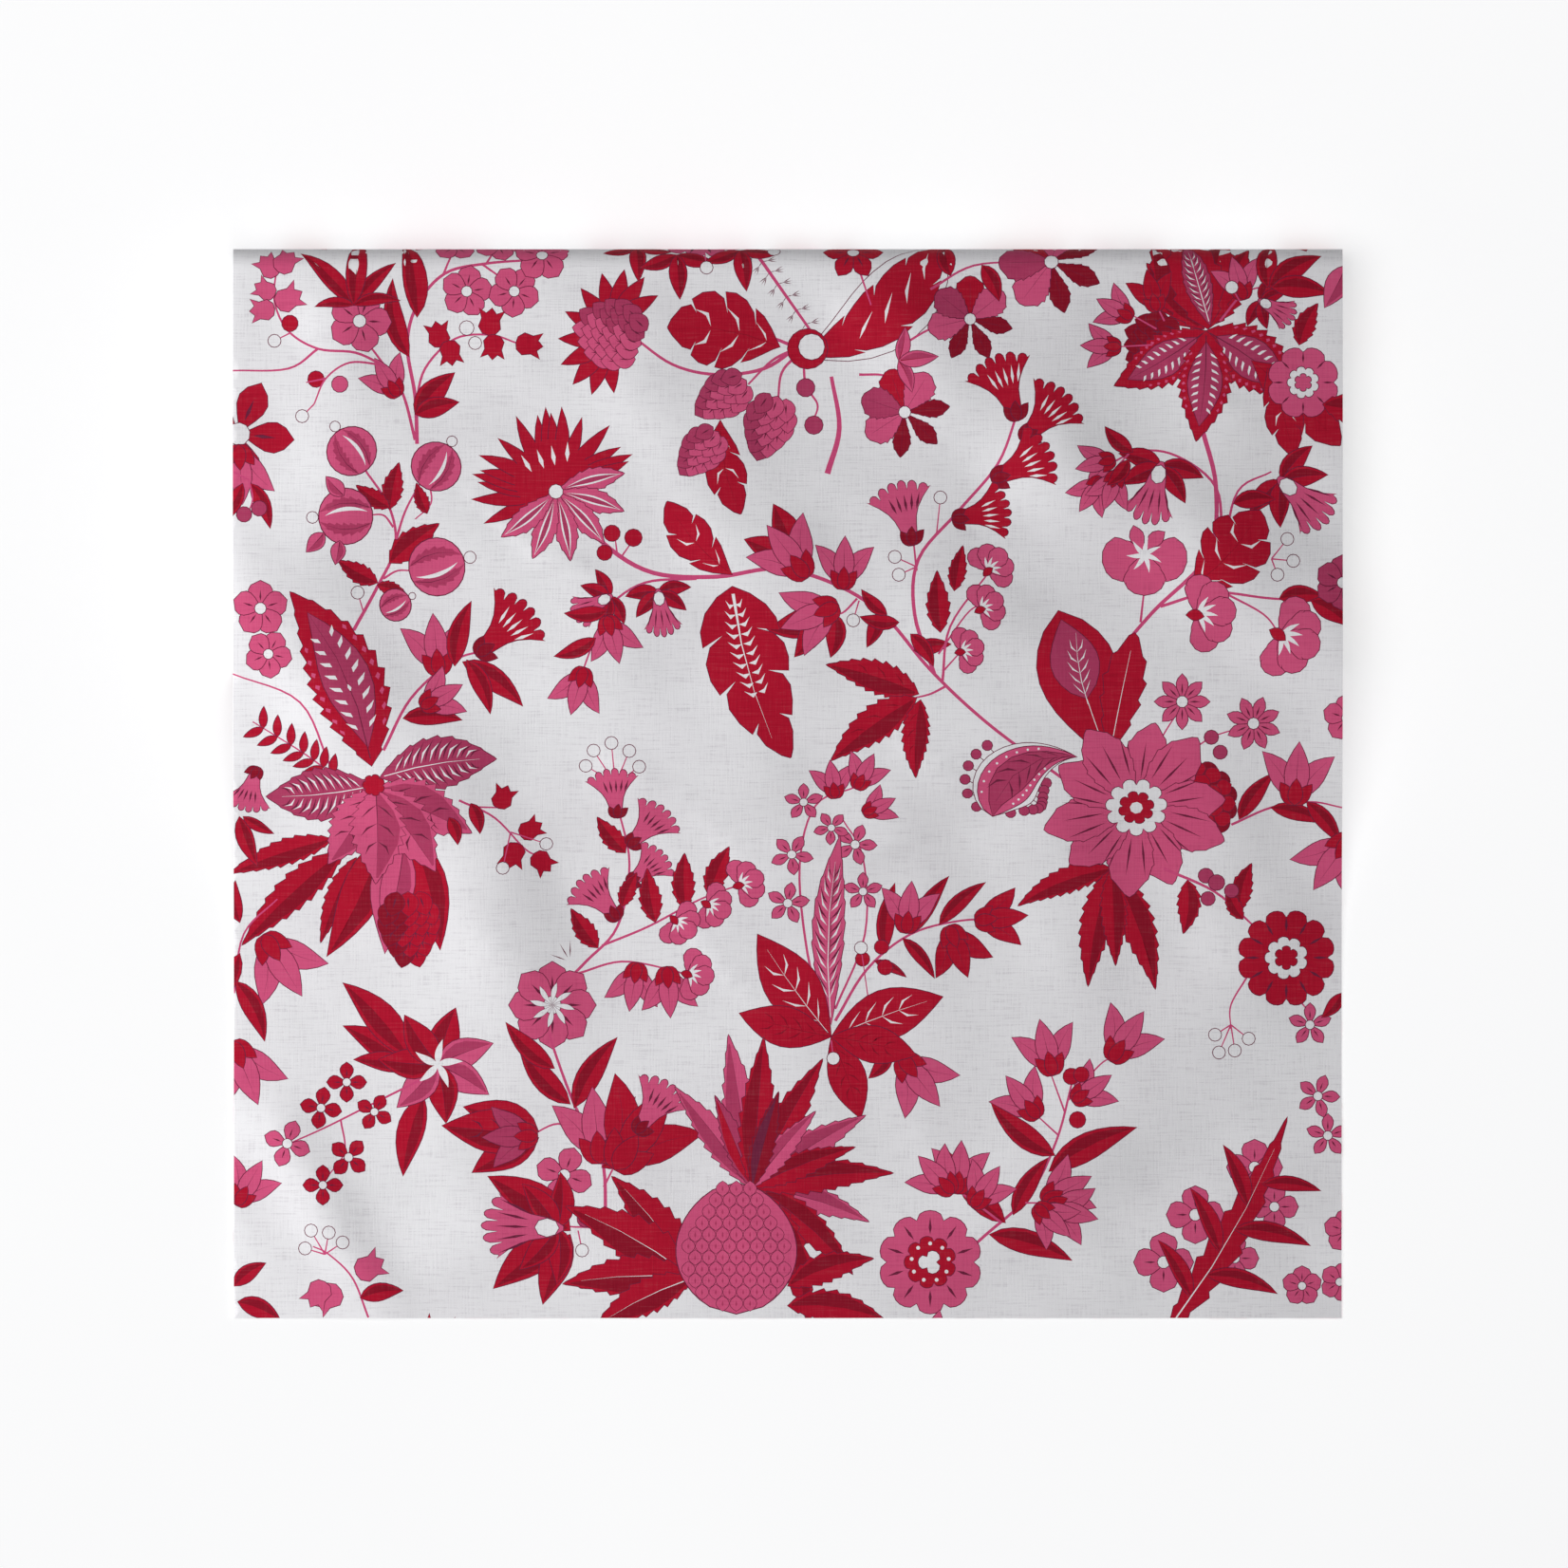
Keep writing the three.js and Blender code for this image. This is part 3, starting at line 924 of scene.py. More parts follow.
        self.lily((19.4, 17.9, -118, 2.5), (21.4, 17.4, 172, 2.7))
        self.tulip((18.9, 19.2, 165, 2.3), (17.7, 21.8, 196, 2.3))
        self.leaf((18.9, 18.8, -108, 2.2), (18.3, 20.2, -128, 2.3), width=0.34)
        self.shield_leaf((25.2, 17.6, 174, 9.2))
        self.stem((36.0, 22.6), (35.2, 23.0), (34.4, 23.2), width=0.13)
        self.leaf((34.6, 23.0, -64, 4.9), (34.5, 23.2, -118, 5.4), (34.7, 23.3, -168, 4.0),
            width=0.36, bend=-0.3, teeth=6, pairs=3)
        for t, turn in ((0.66, 62), (0.74, -70)):
            self.leaf(vine.spot(t, turn, 1.9), 0.4, 0.3)

    @motif
    def shield_leaf(self, spot: Spot) -> None:
        """A broad toothed leaf with a pale fern drawn down its middle.

        Args:
            spot: its base.
        """
        blade = Blade(0.44, 0.36, -0.45, 0.75, lobes=4, depth=0.55)
        self.paint(spot, blade, CRIMSON, EDGE)
        self.vein(spot, Blade(0.46, 0.34, -0.35, 0.75), GROUND, 0, 0.07)
        for k in range(10):
            t = 0.1 + 0.055 * k
            for side in (-1.0, 1.0):
                place = np.array((t, t - 0.005, t - 0.03, t + 0.02))
                self.paint(spot, blade.at(place, side * np.array((0.02, 0.2, 0.36, 0.18))), GROUND)

    def artichoke_spray(self) -> None:
        """The curled crimson leaf at the top middle, with artichoke, hop cones and half daisies."""
        self.stem((30.0, 11.9), (30.6, 9.6), (30.2, 7.0), width=0.3)
        self.stem((28.6, 5.4), (26.8, 6.6), (24.4, 6.9), (22.2, 6.4), (20.2, 5.0), width=0.2)
        self.stem((28.4, 5.5), (26.8, 5.0), (25.4, 5.6), width=0.18)
        self.stem((28.4, 5.6), (27.2, 6.2), (26.0, 7.4), width=0.16)
        self.stem((28.6, 5.8), (27.7, 6.8), (27.5, 8.4), width=0.16)
        self.stem((28.8, 5.8), (28.9, 7.4), (29.5, 8.4), (29.3, 9.2), width=0.14)
        self.berry((29.0, 8.0, -12, 0.9), (29.3, 9.0, 178, 0.9), ink=ROSE)
        self.artichoke((20.6, 5.4, -68, 4.0))
        self.acanthus((27.6, 5.5, -66, 5.8), 0.66, -0.5, 4)
        self.acanthus((24.6, 9.2, 182, 4.9), 0.4, -0.5, 3)
        self.cone((25.9, 7.2, -124, 3.1), (27.5, 8.0, -162, 3.4), (24.5, 9.8, -138, 2.9))
        twig = self.stem((25.6, -0.4), (27.4, 2.2), (29.8, 5.6), width=0.2)
        for k in range(9):
            for side in (-1.0, 1.0):
                root = twig.spot(0.12 + 0.1 * k, 68 * side, 0.8)
                for turn in (-0.35, 0.0, 0.35):
                    self.paint(root, tick(0.0, 0.35, turn, 0.6, 0.06), LINE)
                self.paint(root, tick(0.0, 0.0, 0.0, 0.5, 0.05), LINE)
        curl = Spot(28.8, 5.9, 76, 9.6)
        self.paint(curl, Blade(0.4, 0.55, -0.95, 0.8), GROUND, EDGE)
        self.paint(curl, Blade(0.3, 0.55, -0.95, 0.8, lobes=4, depth=0.3), CRIMSON, EDGE)
        self.paint(Spot(29.0, 5.6, 0, 2.0), disc(0.5, 16), CRIMSON, EDGE)
        self.paint(Spot(29.2, 5.5, 0, 1.3), disc(0.5, 12), GROUND, EDGE)
        spine = Blade(0.3, 0.55, -0.95, 0.8)
        for k in range(4):
            t = 0.3 + 0.15 * k
            place = np.array((t, t + 0.05, t + 0.14, t + 0.04))
            self.paint(curl, spine.at(place, np.array((0.3, 0.05, -0.35, -0.05))), GROUND)
        self.stem((31.6, 6.9), (33.0, 7.0), (33.8, 8.0), width=0.13)
        self.stem((33.8, 5.4), (35.2, 4.6), (36.6, 4.2), width=0.13)
        self.stem((35.2, 2.6), (37.4, 1.4), (40.6, 1.2), width=0.13)
        self.half_daisy((33.9, 8.8, 0, 4.2), (37.2, 4.1, 20, 4.0), (41.3, 1.2, -20, 4.9))
        self.trio((33.6, 6.2, 84, 2.0), ink=PINK)
        self.leaf((37.8, 1.4, 140, 2.0), (36.2, 1.9, -20, 2.1), width=0.42)
        self.stem((31.4, 1.0), (32.2, 3.4), width=0.12)
        self.blossom((31.3, 0.6, 30, 3.0), 6, CRIMSON, 0.6, 0.9)
        self.round_flower((23.6, -1.5, 0, 5.0), 13, PINK)
        self.trio((20.4, 0.1, 178, 2.1), (22.4, 0.8, 176, 2.3), (25.6, 0.4, 172, 2.3), width=0.38)
        self.rings((23.8, 0.6), (23.9, 1.5))
        self.rings((27.6, -0.4), (27.3, 0.5))

    def fan_spray(self) -> None:
        """The arching stem of fan flowers right of the middle."""
        self.stem((35.4, 22.0), (34.4, 19.0), (34.6, 16.2), (36.6, 13.8), (38.6, 11.4), (39.6, 8.8), width=0.2)
        self.stem((34.5, 16.8), (34.3, 14.9), width=0.12)
        self.fan_flower((39.6, 9.1, -22, 3.4), (39.9, 10.2, 42, 3.3), (38.4, 12.2, 62, 3.3), (36.4, 14.2, 78, 2.9))
        self.fan_flower((34.3, 15.4, -16, 3.2), PINK)
        self.rings((35.5, 15.0), (35.7, 13.1))
        self.rings((34.5, 16.6), (33.4, 16.1), (33.6, 17.0))
        self.stem((35.8, 22.4), (36.2, 19.6), (38.2, 16.8), width=0.14)
        self.stem((35.6, 21.0), (37.2, 18.8), (38.2, 18.6), width=0.1)
        self.stem((35.9, 21.8), (36.8, 20.8), width=0.1)
        self.leaf((35.7, 19.9, -6, 3.1), (36.4, 17.8, 8, 2.3), teeth=4, width=0.4, bend=0.1)
        self.carnation((38.0, 16.9, 38, 2.0), (37.6, 18.8, 60, 1.9), (36.6, 20.9, 74, 1.8))
        self.leaf((33.6, 19.4, -96, 2.0), (34.2, 20.0, 130, 2.0), (33.0, 19.0, -60, 1.8), width=0.36)

    def crimson_exotic(self) -> None:
        """The great crimson flower at the top right, with its side buds."""
        self.stem((48.9, 9.6), (49.6, 12.6), (49.2, 16.0), (46.4, 18.9), (44.6, 21.2), (43.6, 24.0), width=0.24)
        self.leaf((49.0, 4.6, -44, 4.4), (49.4, 4.4, 22, 4.4), (48.9, 4.6, -30, 5.6), (49.2, 4.6, 6, 5.4),
            width=0.44, bend=0.1, teeth=5)
        self.leaf((49.2, 4.6, -14, 6.2), 0.46, 0.0, 4, vein=None)
        self.striped_leaf((49.3, 4.4, -16, 4.6), 0.3, 0.0)
        self.scales((47.8, 5.3, -92, 2.9), 4, 1.0, DEEP, DEEP)
        for turn, size, width in ((232, 5.4, 0.5), (118, 5.8, 0.56), (178, 5.6, 0.5)):
            self.feather_leaf((49.1, 4.7, turn, size), width, 0.25)
        self.stem((46.6, 4.6), (45.2, 3.8), width=0.09)
        self.stem((46.4, 5.4), (44.6, 5.5), width=0.09)
        self.stem((47.0, 4.2), (46.5, 3.2), width=0.09)
        self.tulip((45.3, 4.0, -62, 1.9), (44.7, 5.5, -88, 1.9))
        self.tulip((46.6, 3.6, -14, 2.0), CRIMSON)
        self.stem((49.8, 4.2), (51.0, 2.8), (52.3, 2.4), width=0.12)
        self.tulip((51.0, 3.0, -16, 2.1))
        self.lily((51.5, 3.0, 118, 2.3))
        self.rings((50.8, 3.2), (50.4, 2.5))
        self.leaf((52.2, 2.5, -8, 2.8), (52.3, 2.5, 44, 3.1), (52.4, 2.5, 82, 3.0), width=0.36)
        self.acanthus((51.4, 6.2, 128, 6.2), (52.2, 6.6, 158, 4.6), width=0.4, bend=0.2, lobes=3)
        self.round_flower((54.0, 7.3, 0, 3.6), 8, PINK)
        self.leaf((53.8, 5.4, 10, 2.3), (55.0, 8.4, 96, 3.0), teeth=4, width=0.5)
        self.leaf((56.2, 1.4, 205, 2.4), 0.5, 0.1, ink=PINK, vein=LINE)

    def right_vine(self) -> None:
        """The lilies, carnations and small daisies down the right side."""
        self.stem((49.9, 15.4), (49.6, 12.6), (47.6, 11.0), (45.6, 10.8), (43.6, 11.8), width=0.15)
        self.lily((47.0, 10.9, 196, 3.6))
        self.stem((45.2, 10.9), (44.0, 12.2), (43.2, 13.0), width=0.1)
        self.tulip((44.4, 11.2, -104, 1.9), (43.8, 12.2, 214, 1.9), (44.6, 11.9, 200, 1.9))
        self.leaf((45.4, 10.8, -62, 1.9), (45.2, 11.2, 206, 1.7), width=0.4)
        self.stem((50.0, 15.6), (50.7, 12.8), (52.4, 11.8), width=0.14)
        self.lily((52.4, 11.8, 132, 3.8))
        self.leaf((50.5, 13.4, 70, 2.1), 0.42)
        self.stem((45.8, 19.4), (46.0, 17.6), width=0.13)
        self.pansy((46.0, 16.0, 0, 3.9))
        self.acanthus((48.4, 17.6, 56, 5.2), 0.66, -0.5, 4)
        self.rings((52.4, 16.2), (53.2, 15.2), (53.5, 16.3), (52.7, 17.0))
        self.stem((46.8, 18.6), (49.4, 17.9), (52.4, 18.2), (56.0, 18.4), width=0.16)
        self.leaf((52.8, 18.2, 72, 2.2), (54.4, 18.3, 110, 2.3), width=0.42)
        self.blossom((56.0, 17.4, 0, 2.8), 6, ROSE)
        self.stem((50.2, 18.0), (52.0, 19.0), (52.8, 20.0), width=0.12)
        self.carnation((48.4, 19.0, 84, 3.0))
        self.carnation((52.6, 19.9, 112, 3.2))
        self.stem((46.2, 26.6), (47.0, 25.0), (47.9, 23.6), width=0.1)
        self.stem((47.4, 26.6), (49.4, 25.2), (51.4, 24.6), width=0.1)
        self.blossom((47.9, 23.4, 0, 2.8), (51.5, 24.5, 20, 2.8), petals=8, width=0.42, blunt=1.0)
        self.berry((49.2, 25.5, 30, 0.7), (49.6, 25.7, 140, 0.7), ink=ROSE)
        self.blossom((56.2, 24.2, 0, 2.4), 5)

    def left_exotic(self) -> None:
        """The great feathered flower on the left."""
        self.stem((7.6, 25.8), (9.0, 23.2), (11.2, 21.3), (13.0, 20.8), width=0.16)
        self.stem((4.9, 26.6), (3.4, 23.4), (0.0, 22.0), width=0.12)
        self.blossom((1.4, 18.7, 0, 2.8), (1.8, 21.0, 30, 2.4))
        self.tulip((10.4, 21.9, -6, 2.9))
        self.fan_flower((12.4, 21.0, 46, 3.6))
        self.leaf((11.2, 21.6, 0, 3.4), (11.6, 21.4, 112, 3.8), (11.8, 21.3, 142, 3.0), (8.6, 24.2, 78, 3.0),
            width=0.3)
        self.tulip((9.6, 23.6, 62, 2.2))
        leafy = self.stem((5.4, 27.4), (3.6, 26.0), (1.0, 24.4), width=0.1)
        for k in range(7):
            for side in (-58, 58):
                self.leaf(leafy.spot(0.12 + 0.13 * k, side, 1.1), 0.36, 0.1, vein=None)
        self.leaf((5.0, 30.6, -104, 5.6), (5.6, 31.2, -128, 7.2), (6.2, 31.6, -152, 4.8),
            width=0.26, bend=-0.2, teeth=6)
        self.feather_leaf((7.0, 26.6, -8, 9.8), 0.4, -0.6)
        self.striped_leaf((7.2, 27.6, -106, 5.6), 0.52, 0.3)
        self.striped_leaf((7.4, 27.2, 70, 6.0), 0.46, 0.4)
        self.leaf((8.4, 30.2, 140, 4.4), (7.6, 30.4, 196, 7.0), (9.0, 30.4, 158, 6.2), width=0.3, bend=0.3)
        self.leaf((7.8, 31.0, 176, 5.6), (8.6, 31.0, 186, 5.0), width=0.34, bend=0.2, ink=PINK, vein=LINE)
        self.scales((8.8, 33.4, 178, 4.4), 6, 0.62, CRIMSON, DEEP)
        for turn, size in ((112, 5.4), (206, 4.8), (142, 5.4), (176, 5.2)):
            self.leaf((7.2, 27.8, turn, size), 0.56, 0.15, 7, PINK, LINE, 3)
        self.paint(Spot(7.1, 27.6, 0, 1.1), scalloped(0.5, 7, 0.2), CRIMSON, EDGE)
        self.stem((11.4, 28.4), (13.2, 29.4), (14.8, 31.2), (15.8, 31.6), width=0.12)
        self.stem((12.4, 28.8), (13.8, 28.9), width=0.1)
        self.bell((13.4, 28.9, 22, 1.2), (14.5, 30.4, 60, 1.2), (14.3, 30.8, 196, 1.3), (15.2, 31.4, 140, 1.2))
        self.rings((14.0, 30.2), (15.8, 30.9), (13.6, 32.1))
        self.leaf((12.0, 28.6, 150, 1.7), (10.9, 29.3, 150, 1.6), width=0.4)
        self.fan_flower((1.2, 26.8, 196, 2.4), PINK)
        self.leaf((0.3, 29.4, 170, 2.8), (0.5, 29.4, 130, 1.8), width=0.3, bend=-0.3)

    def lily_group(self) -> None:
        """The bell flower, the open lily and the four-petalled flowers at the lower left."""
        self.stem((0.0, 38.6), (0.5, 35.6), (2.2, 33.8), width=0.12)
        self.tulip((1.6, 35.8, 148, 3.4))
        self.leaf((0.3, 36.6, 200, 3.4), (0.1, 38.0, 140, 3.4), (0.3, 35.0, -20, 2.2), width=0.3)
        self.tulip((0.0, 41.2, 158, 3.2), (0.2, 49.2, 30, 2.4))
        self.leaf((9.2, 42.6, -46, 4.4), (9.0, 42.4, -70, 3.0), (9.6, 43.8, 206, 4.2), (8.8, 41.8, -30, 5.0),
            width=0.32, bend=-0.4)
        for k, ink in enumerate((CRIMSON, PINK, PINK, CRIMSON, PINK, CRIMSON, CRIMSON)):
            self.leaf((10.3, 42.2, 51.4 * k + 12, 3.0), 0.5, 0.2, ink=ink, vein=LINE)
        for k in range(5):
            self.paint(Spot(10.3, 42.2, 72 * k, 1.3), Blade(0.28, 0.4), GROUND)
        self.stem((9.4, 43.0), (7.0, 44.2), (4.6, 45.4), (2.8, 46.2), width=0.12)
        self.stem((5.4, 45.0), (5.6, 46.6), (4.8, 47.8), width=0.1)
        self.blossom((5.7, 43.1, 0, 2.0), (7.1, 44.6, 30, 1.9), (4.4, 44.4, 10, 2.1), (5.8, 46.9, 40, 2.1),
            (4.5, 48.3, 0, 2.0), petals=4, ink=CRIMSON, width=0.66, blunt=0.9)
        self.blossom((2.7, 46.2, 20, 2.4), 4, PINK, 0.66, 0.9)

    def fan_sprig(self) -> None:
        """The sprig of pink fans in the middle, over the round pink flower."""
        self.stem((16.2, 38.6), (17.8, 37.0), (19.4, 35.2), (20.0, 32.0), (19.4, 28.8), width=0.16)
        self.rings((19.3, 27.6), (17.8, 26.7), (18.2, 25.9), (19.1, 25.5), (20.0, 25.9), (20.5, 26.7))
        self.fan_flower((19.4, 29.4, -8, 2.6), (20.0, 31.0, 42, 2.8), (20.0, 33.0, 48, 2.4), (19.4, 34.8, -42, 2.8),
            ink=PINK)
        self.leaf((19.8, 31.4, -42, 2.4), (19.6, 34.2, 18, 1.9), (18.4, 36.3, -40, 2.4),
            teeth=4, width=0.46, bend=0.2)
        self.stem((18.6, 36.2), (21.0, 35.2), (23.6, 33.8), (26.0, 32.9), width=0.13)
        self.leaf((21.3, 35.0, -14, 2.8), (22.8, 34.3, -6, 2.9), (24.0, 33.6, 16, 2.8), teeth=4, width=0.42, bend=0.2)
        self.carnation((25.4, 33.1, 66, 2.0), (23.8, 34.0, 112, 1.9), (22.2, 34.8, 128, 1.9))
        self.stem((17.4, 37.6), (19.6, 37.0), (22.0, 37.4), (23.2, 37.8), width=0.12)
        self.tulip((20.4, 37.2, 190, 2.3), (21.9, 37.4, 176, 2.4))
        self.carnation((22.8, 37.6, 96, 2.0))
        for turn in (-70, -30, 0):
            self.paint(Spot(17.0, 37.0, turn, 1.0), tick(0.0, 0.2, 0.0, 0.9, 0.06), LINE)
        self.blossom((16.1, 39.2, 0, 4.4), 8, PINK, 0.7, 0.6)
        for k in range(8):
            self.paint(Spot(16.1, 39.2, 45 * k, 1.15), Blade(0.22, 0.6), GROUND, 0.4 * EDGE)

    def slender_plant(self) -> None:
        """The slender striped leaf in the middle, with stars about it and broad leaves at its foot."""
        self.stem((30.0, 40.4), (29.0, 36.6), (28.6, 32.0), (29.4, 28.8), (31.4, 27.8), width=0.14)
        self.stem((30.4, 39.4), (31.9, 35.6), (31.8, 31.6), (30.8, 29.6), width=0.12)
        self.blossom((28.8, 28.6, 0, 2.0), (31.4, 30.9, 20, 2.2), (28.2, 31.4, 30, 2.2), (28.0, 34.0, 10, 2.2),
            (31.8, 33.4, 0, 2.0), (30.2, 30.0, 40, 1.8), width=0.5, blunt=1.0)
        self.tulip((30.4, 28.3, -8, 1.9), (31.5, 27.8, 26, 1.9), (31.9, 29.2, 62, 1.7))
        self.striped_leaf((30.2, 40.2, -6, 9.8), 0.17, 0.3, PINK)
        sprig = self.stem((30.4, 40.0), (32.0, 37.4), (34.2, 35.6), (36.8, 34.9), (39.0, 34.9), width=0.15)
        for t, turn, size in ((0.36, -52, 3.6), (0.52, -46, 3.4), (0.64, -42, 3.2), (0.46, 70, 2.6), (0.3, 60, 1.8)):
            self.leaf(sprig.spot(t, turn, size), 0.24, 0.4)
        self.tulip((34.0, 35.4, 6, 2.5))
        self.tulip((36.2, 35.3, 160, 2.6), (37.6, 34.9, 84, 2.5), ink=CRIMSON)
        self.berry((32.8, 36.6, -10, 0.7), (32.6, 37.1, 120, 0.75), (31.9, 37.2, -20, 0.7))
        self.rings((32.4, 41.2), (31.7, 36.3))
        self.stem((30.6, 41.0), (32.4, 41.2), (34.0, 42.0), width=0.12)
        self.tulip((33.8, 41.9, 142, 3.0))
        self.leaf((33.2, 41.5, 204, 1.8), 0.4)
        self.berry((32.4, 41.1, 20, 0.75), ROSE)
        for turn, size in ((-40, 6.4), (-80, 4.8), (66, 6.0), (156, 4.4), (98, 4.4)):
            blade = Blade(0.42, 0.5, 0.15)
            self.paint(Spot(30.2, 40.8, turn, size), blade, CRIMSON, EDGE)
            self.vein(Spot(30.2, 40.8, turn, size), blade, GROUND if turn in (-40, 66) else DEEP, 4, 0.05)
        self.rings((30.2, 41.0), (30.3, 41.9))

    def great_daisy(self) -> None:
        """The great pink daisy on the right, with its paisley and its fern leaves."""
        for turn, size in ((-20, 8.0), (10, 6.6)):
            blade = Blade(0.5 if turn < 0 else 0.34, 0.6, 0.05, 0.75, teeth=0 if turn < 0 else 6, depth=0.2)
            at = Spot(44.2, 26.4, turn, size)
            self.paint(at, blade, CRIMSON, EDGE)
            self.vein(at, blade, GROUND, width=0.07)
            if turn < 0:
                self.paint(at, blade.panel(0.42, 0.94, 0.62), ROSE, EDGE)
                self.vein(at.step(0, 0.36, 0, 0.56), Blade(0.4, 0.5), GROUND, 5, 0.06)
        self.paisley((42.6, 26.2, -78, 6.0), -1.7)
        self.paint(Spot(48.4, 28.6, 0, 4.6), scalloped(0.5, 14, 0.12), DEEP, EDGE)
        for ring, count in ((0.4, 13), (0.27, 9), (0.14, 5)):
            for k in range(count):
                turn = 360 * k / count + 90 * ring
                x, y = (ring * math.sin(math.radians(turn)), ring * math.cos(math.radians(turn)))
                scale = Spot(48.4, 28.6, 0, 4.6).step(x, y, turn, 0.2)
                self.paint(scale.step(0, -0.6), Blade(0.9, 0.6, 0, 0.6, steps=6), CRIMSON, 0.7 * EDGE)
        for turn, size, bend in ((-98, 5.2, -0.5), (200, 6.2, -0.3), (152, 6.6, 0.3), (178, 5.0, 0.0)):
            self.leaf((44.4, 32.2, turn, size), 0.28, bend, 7)
        self.daisy((45.6, 28.9, 8, 9.4))

    def right_sprigs(self) -> None:
        """The sprigs to the right of the great daisy, and the round crimson flower under them."""
        self.stem((50.4, 29.8), (52.4, 28.9), (54.4, 28.6), (56.0, 28.9), width=0.14)
        self.leaf((50.8, 29.5, 24, 3.0), (52.4, 28.9, 96, 2.9), (54.2, 28.6, 132, 2.9), width=0.3, bend=0.4)
        self.tulip((53.6, 28.6, 4, 3.1))
        self.tulip((56.4, 30.6, 214, 3.2))
        self.stem((47.0, 32.2), (49.6, 33.4), (51.6, 35.2), width=0.16)
        self.leaf((50.8, 34.4, 0, 2.6), (51.0, 34.8, -40, 1.8), (48.2, 32.8, 170, 2.8), teeth=4, width=0.44)
        self.berry((49.0, 32.9, 20, 0.75), (49.6, 33.3, 10, 0.8), (49.3, 33.4, 190, 0.7), (50.2, 33.6, 40, 0.7),
            ink=ROSE)
        self.stem((51.2, 37.8), (50.4, 39.2), (50.4, 40.4), width=0.1)
        self.rings((50.4, 40.2), (49.8, 41.6), (50.6, 41.5), (51.3, 40.9), (49.6, 40.7))
        self.stem((53.4, 38.4), (54.4, 39.6), width=0.1)
        self.blossom((54.4, 40.2, 0, 2.2), (54.8, 43.8, 20, 2.2), (55.3, 45.8, 0, 2.2),
            petals=5, width=0.5, blunt=0.9)
        self.round_flower((53.2, 36.8, 0, 4.9), 12)
        self.leaf((56.0, 38.6, 205, 1.6), 0.4)

    def left_climber(self) -> None:
        """The climber under the round pink flower, with its great tulips."""
        self.stem((18.8, 50.0), (18.6, 47.0), (17.2, 44.2), (16.1, 41.2), (16.0, 40.6), width=0.18)
        self.leaf((17.2, 44.4, 20, 4.2), (17.0, 44.2, -52, 4.0), (16.2, 42.4, -58, 3.4), (18.6, 47.4, 64, 2.8),
            width=0.28, bend=0.4)
        self.stem((17.8, 45.8), (16.4, 45.2), (15.0, 45.8), width=0.13)
        self.leaf((15.4, 45.6, -66, 4.0), (15.4, 45.9, -112, 3.8), width=0.44, bend=-0.2)
        self.leaf((15.3, 45.8, -84, 4.8), 0.46, 0.0, ink=CRIMSON, vein=LINE, pairs=3)
        self.tulip((15.2, 45.8, -92, 2.6), ROSE)
        self.tulip((18.5, 47.0, -6, 3.6))
        self.stem((18.7, 48.4), (19.4, 47.0), width=0.12)
        self.tulip((19.4, 47.3, 34, 4.6), CRIMSON)
        self.fan_flower((20.4, 45.6, 34, 3.0), PINK)
        self.blossom((16.7, 47.8, 20, 2.9), 4, PINK, 0.8, 0.6)
        self.stem((20.6, 52.0), (18.6, 50.6), (17.0, 50.4), width=0.14)
        self.leaf((17.0, 50.6, -48, 5.0), (16.8, 50.8, -118, 4.6), (17.0, 50.8, -150, 3.8), width=0.4, bend=-0.3)
        self.lily((17.2, 50.5, -88, 4.6))
        self.rings((17.4, 50.6), (17.6, 51.6))
        self.berry((17.9, 50.4, -20, 0.8), (18.7, 50.8, 0, 0.7), ink=ROSE)

    def pineapple_plant(self) -> None:
        """The pineapple at the bottom edge, with its crown and its great leaves."""
        crown = ((-34, 6.4, PINK), (-8, 7.8, PINK), (96, 6.2, PINK), (52, 6.8, PINK),
            (-20, 5.0, ROSE), (118, 6.8, CRIMSON), (76, 7.2, CRIMSON), (62, 5.6, CRIMSON),
            (26, 7.4, CRIMSON), (36, 5.0, PINK), (4, 7.6, CRIMSON), (14, 5.0, DEEP),
            (142, 7.6, CRIMSON))
        for turn, size, ink in crown:
            self.leaf((26.2, 48.4, turn, size), 0.25, turn / 260, 7, ink, LINE)
        for turn, size in ((-30, 6.6), (-52, 7.4), (-84, 6.6), (-108, 5.6)):
            self.leaf((23.2, 53.0, turn, size), 0.34, -0.3, 6, CRIMSON, GROUND)
        self.leaf((28.0, 53.4, 58, 4.6), (28.0, 54.4, 84, 5.0), width=0.34, teeth=5)
        self.pineapple((25.4, 54.8, 0, 6.6))

    def tulip_sprig(self) -> None:
        """The branching sprig of tulips at the lower right."""
        self.stem((35.0, 53.6), (37.8, 51.0), (40.2, 48.8), (41.6, 46.0), (42.4, 43.0), width=0.17)
        self.stem((42.0, 44.6), (41.2, 42.4), width=0.1)
        self.stem((42.2, 44.0), (43.8, 42.2), (44.6, 41.8), width=0.1)
        self.stem((41.7, 45.8), (40.4, 44.6), width=0.1)
        self.tulip((41.4, 42.6, -14, 2.7), (44.4, 41.9, 34, 2.8), (40.6, 44.8, -38, 2.5), (42.5, 44.0, 56, 2.2))
        self.berry((42.4, 43.2, -10, 0.8), (42.3, 44.8, 120, 0.8), (42.6, 43.0, 40, 0.75))
        self.leaf((41.5, 46.8, -62, 4.2), (41.2, 47.6, 52, 5.0), (39.0, 50.2, -50, 4.6), (38.2, 50.8, 96, 4.4),
            (39.4, 49.8, 20, 3.4), width=0.27, bend=0.4)
        self.stem((38.8, 50.2), (37.2, 49.0), (36.2, 48.4), width=0.12)
        self.tulip((36.6, 48.6, 4, 2.5), (36.3, 48.6, -44, 2.4), (37.4, 49.3, 34, 2.3))
        self.stem((40.0, 49.2), (41.4, 49.2), width=0.1)
        self.tulip((41.0, 49.1, 62, 2.6), (41.2, 49.4, 104, 2.5), (40.6, 49.4, 132, 2.2))
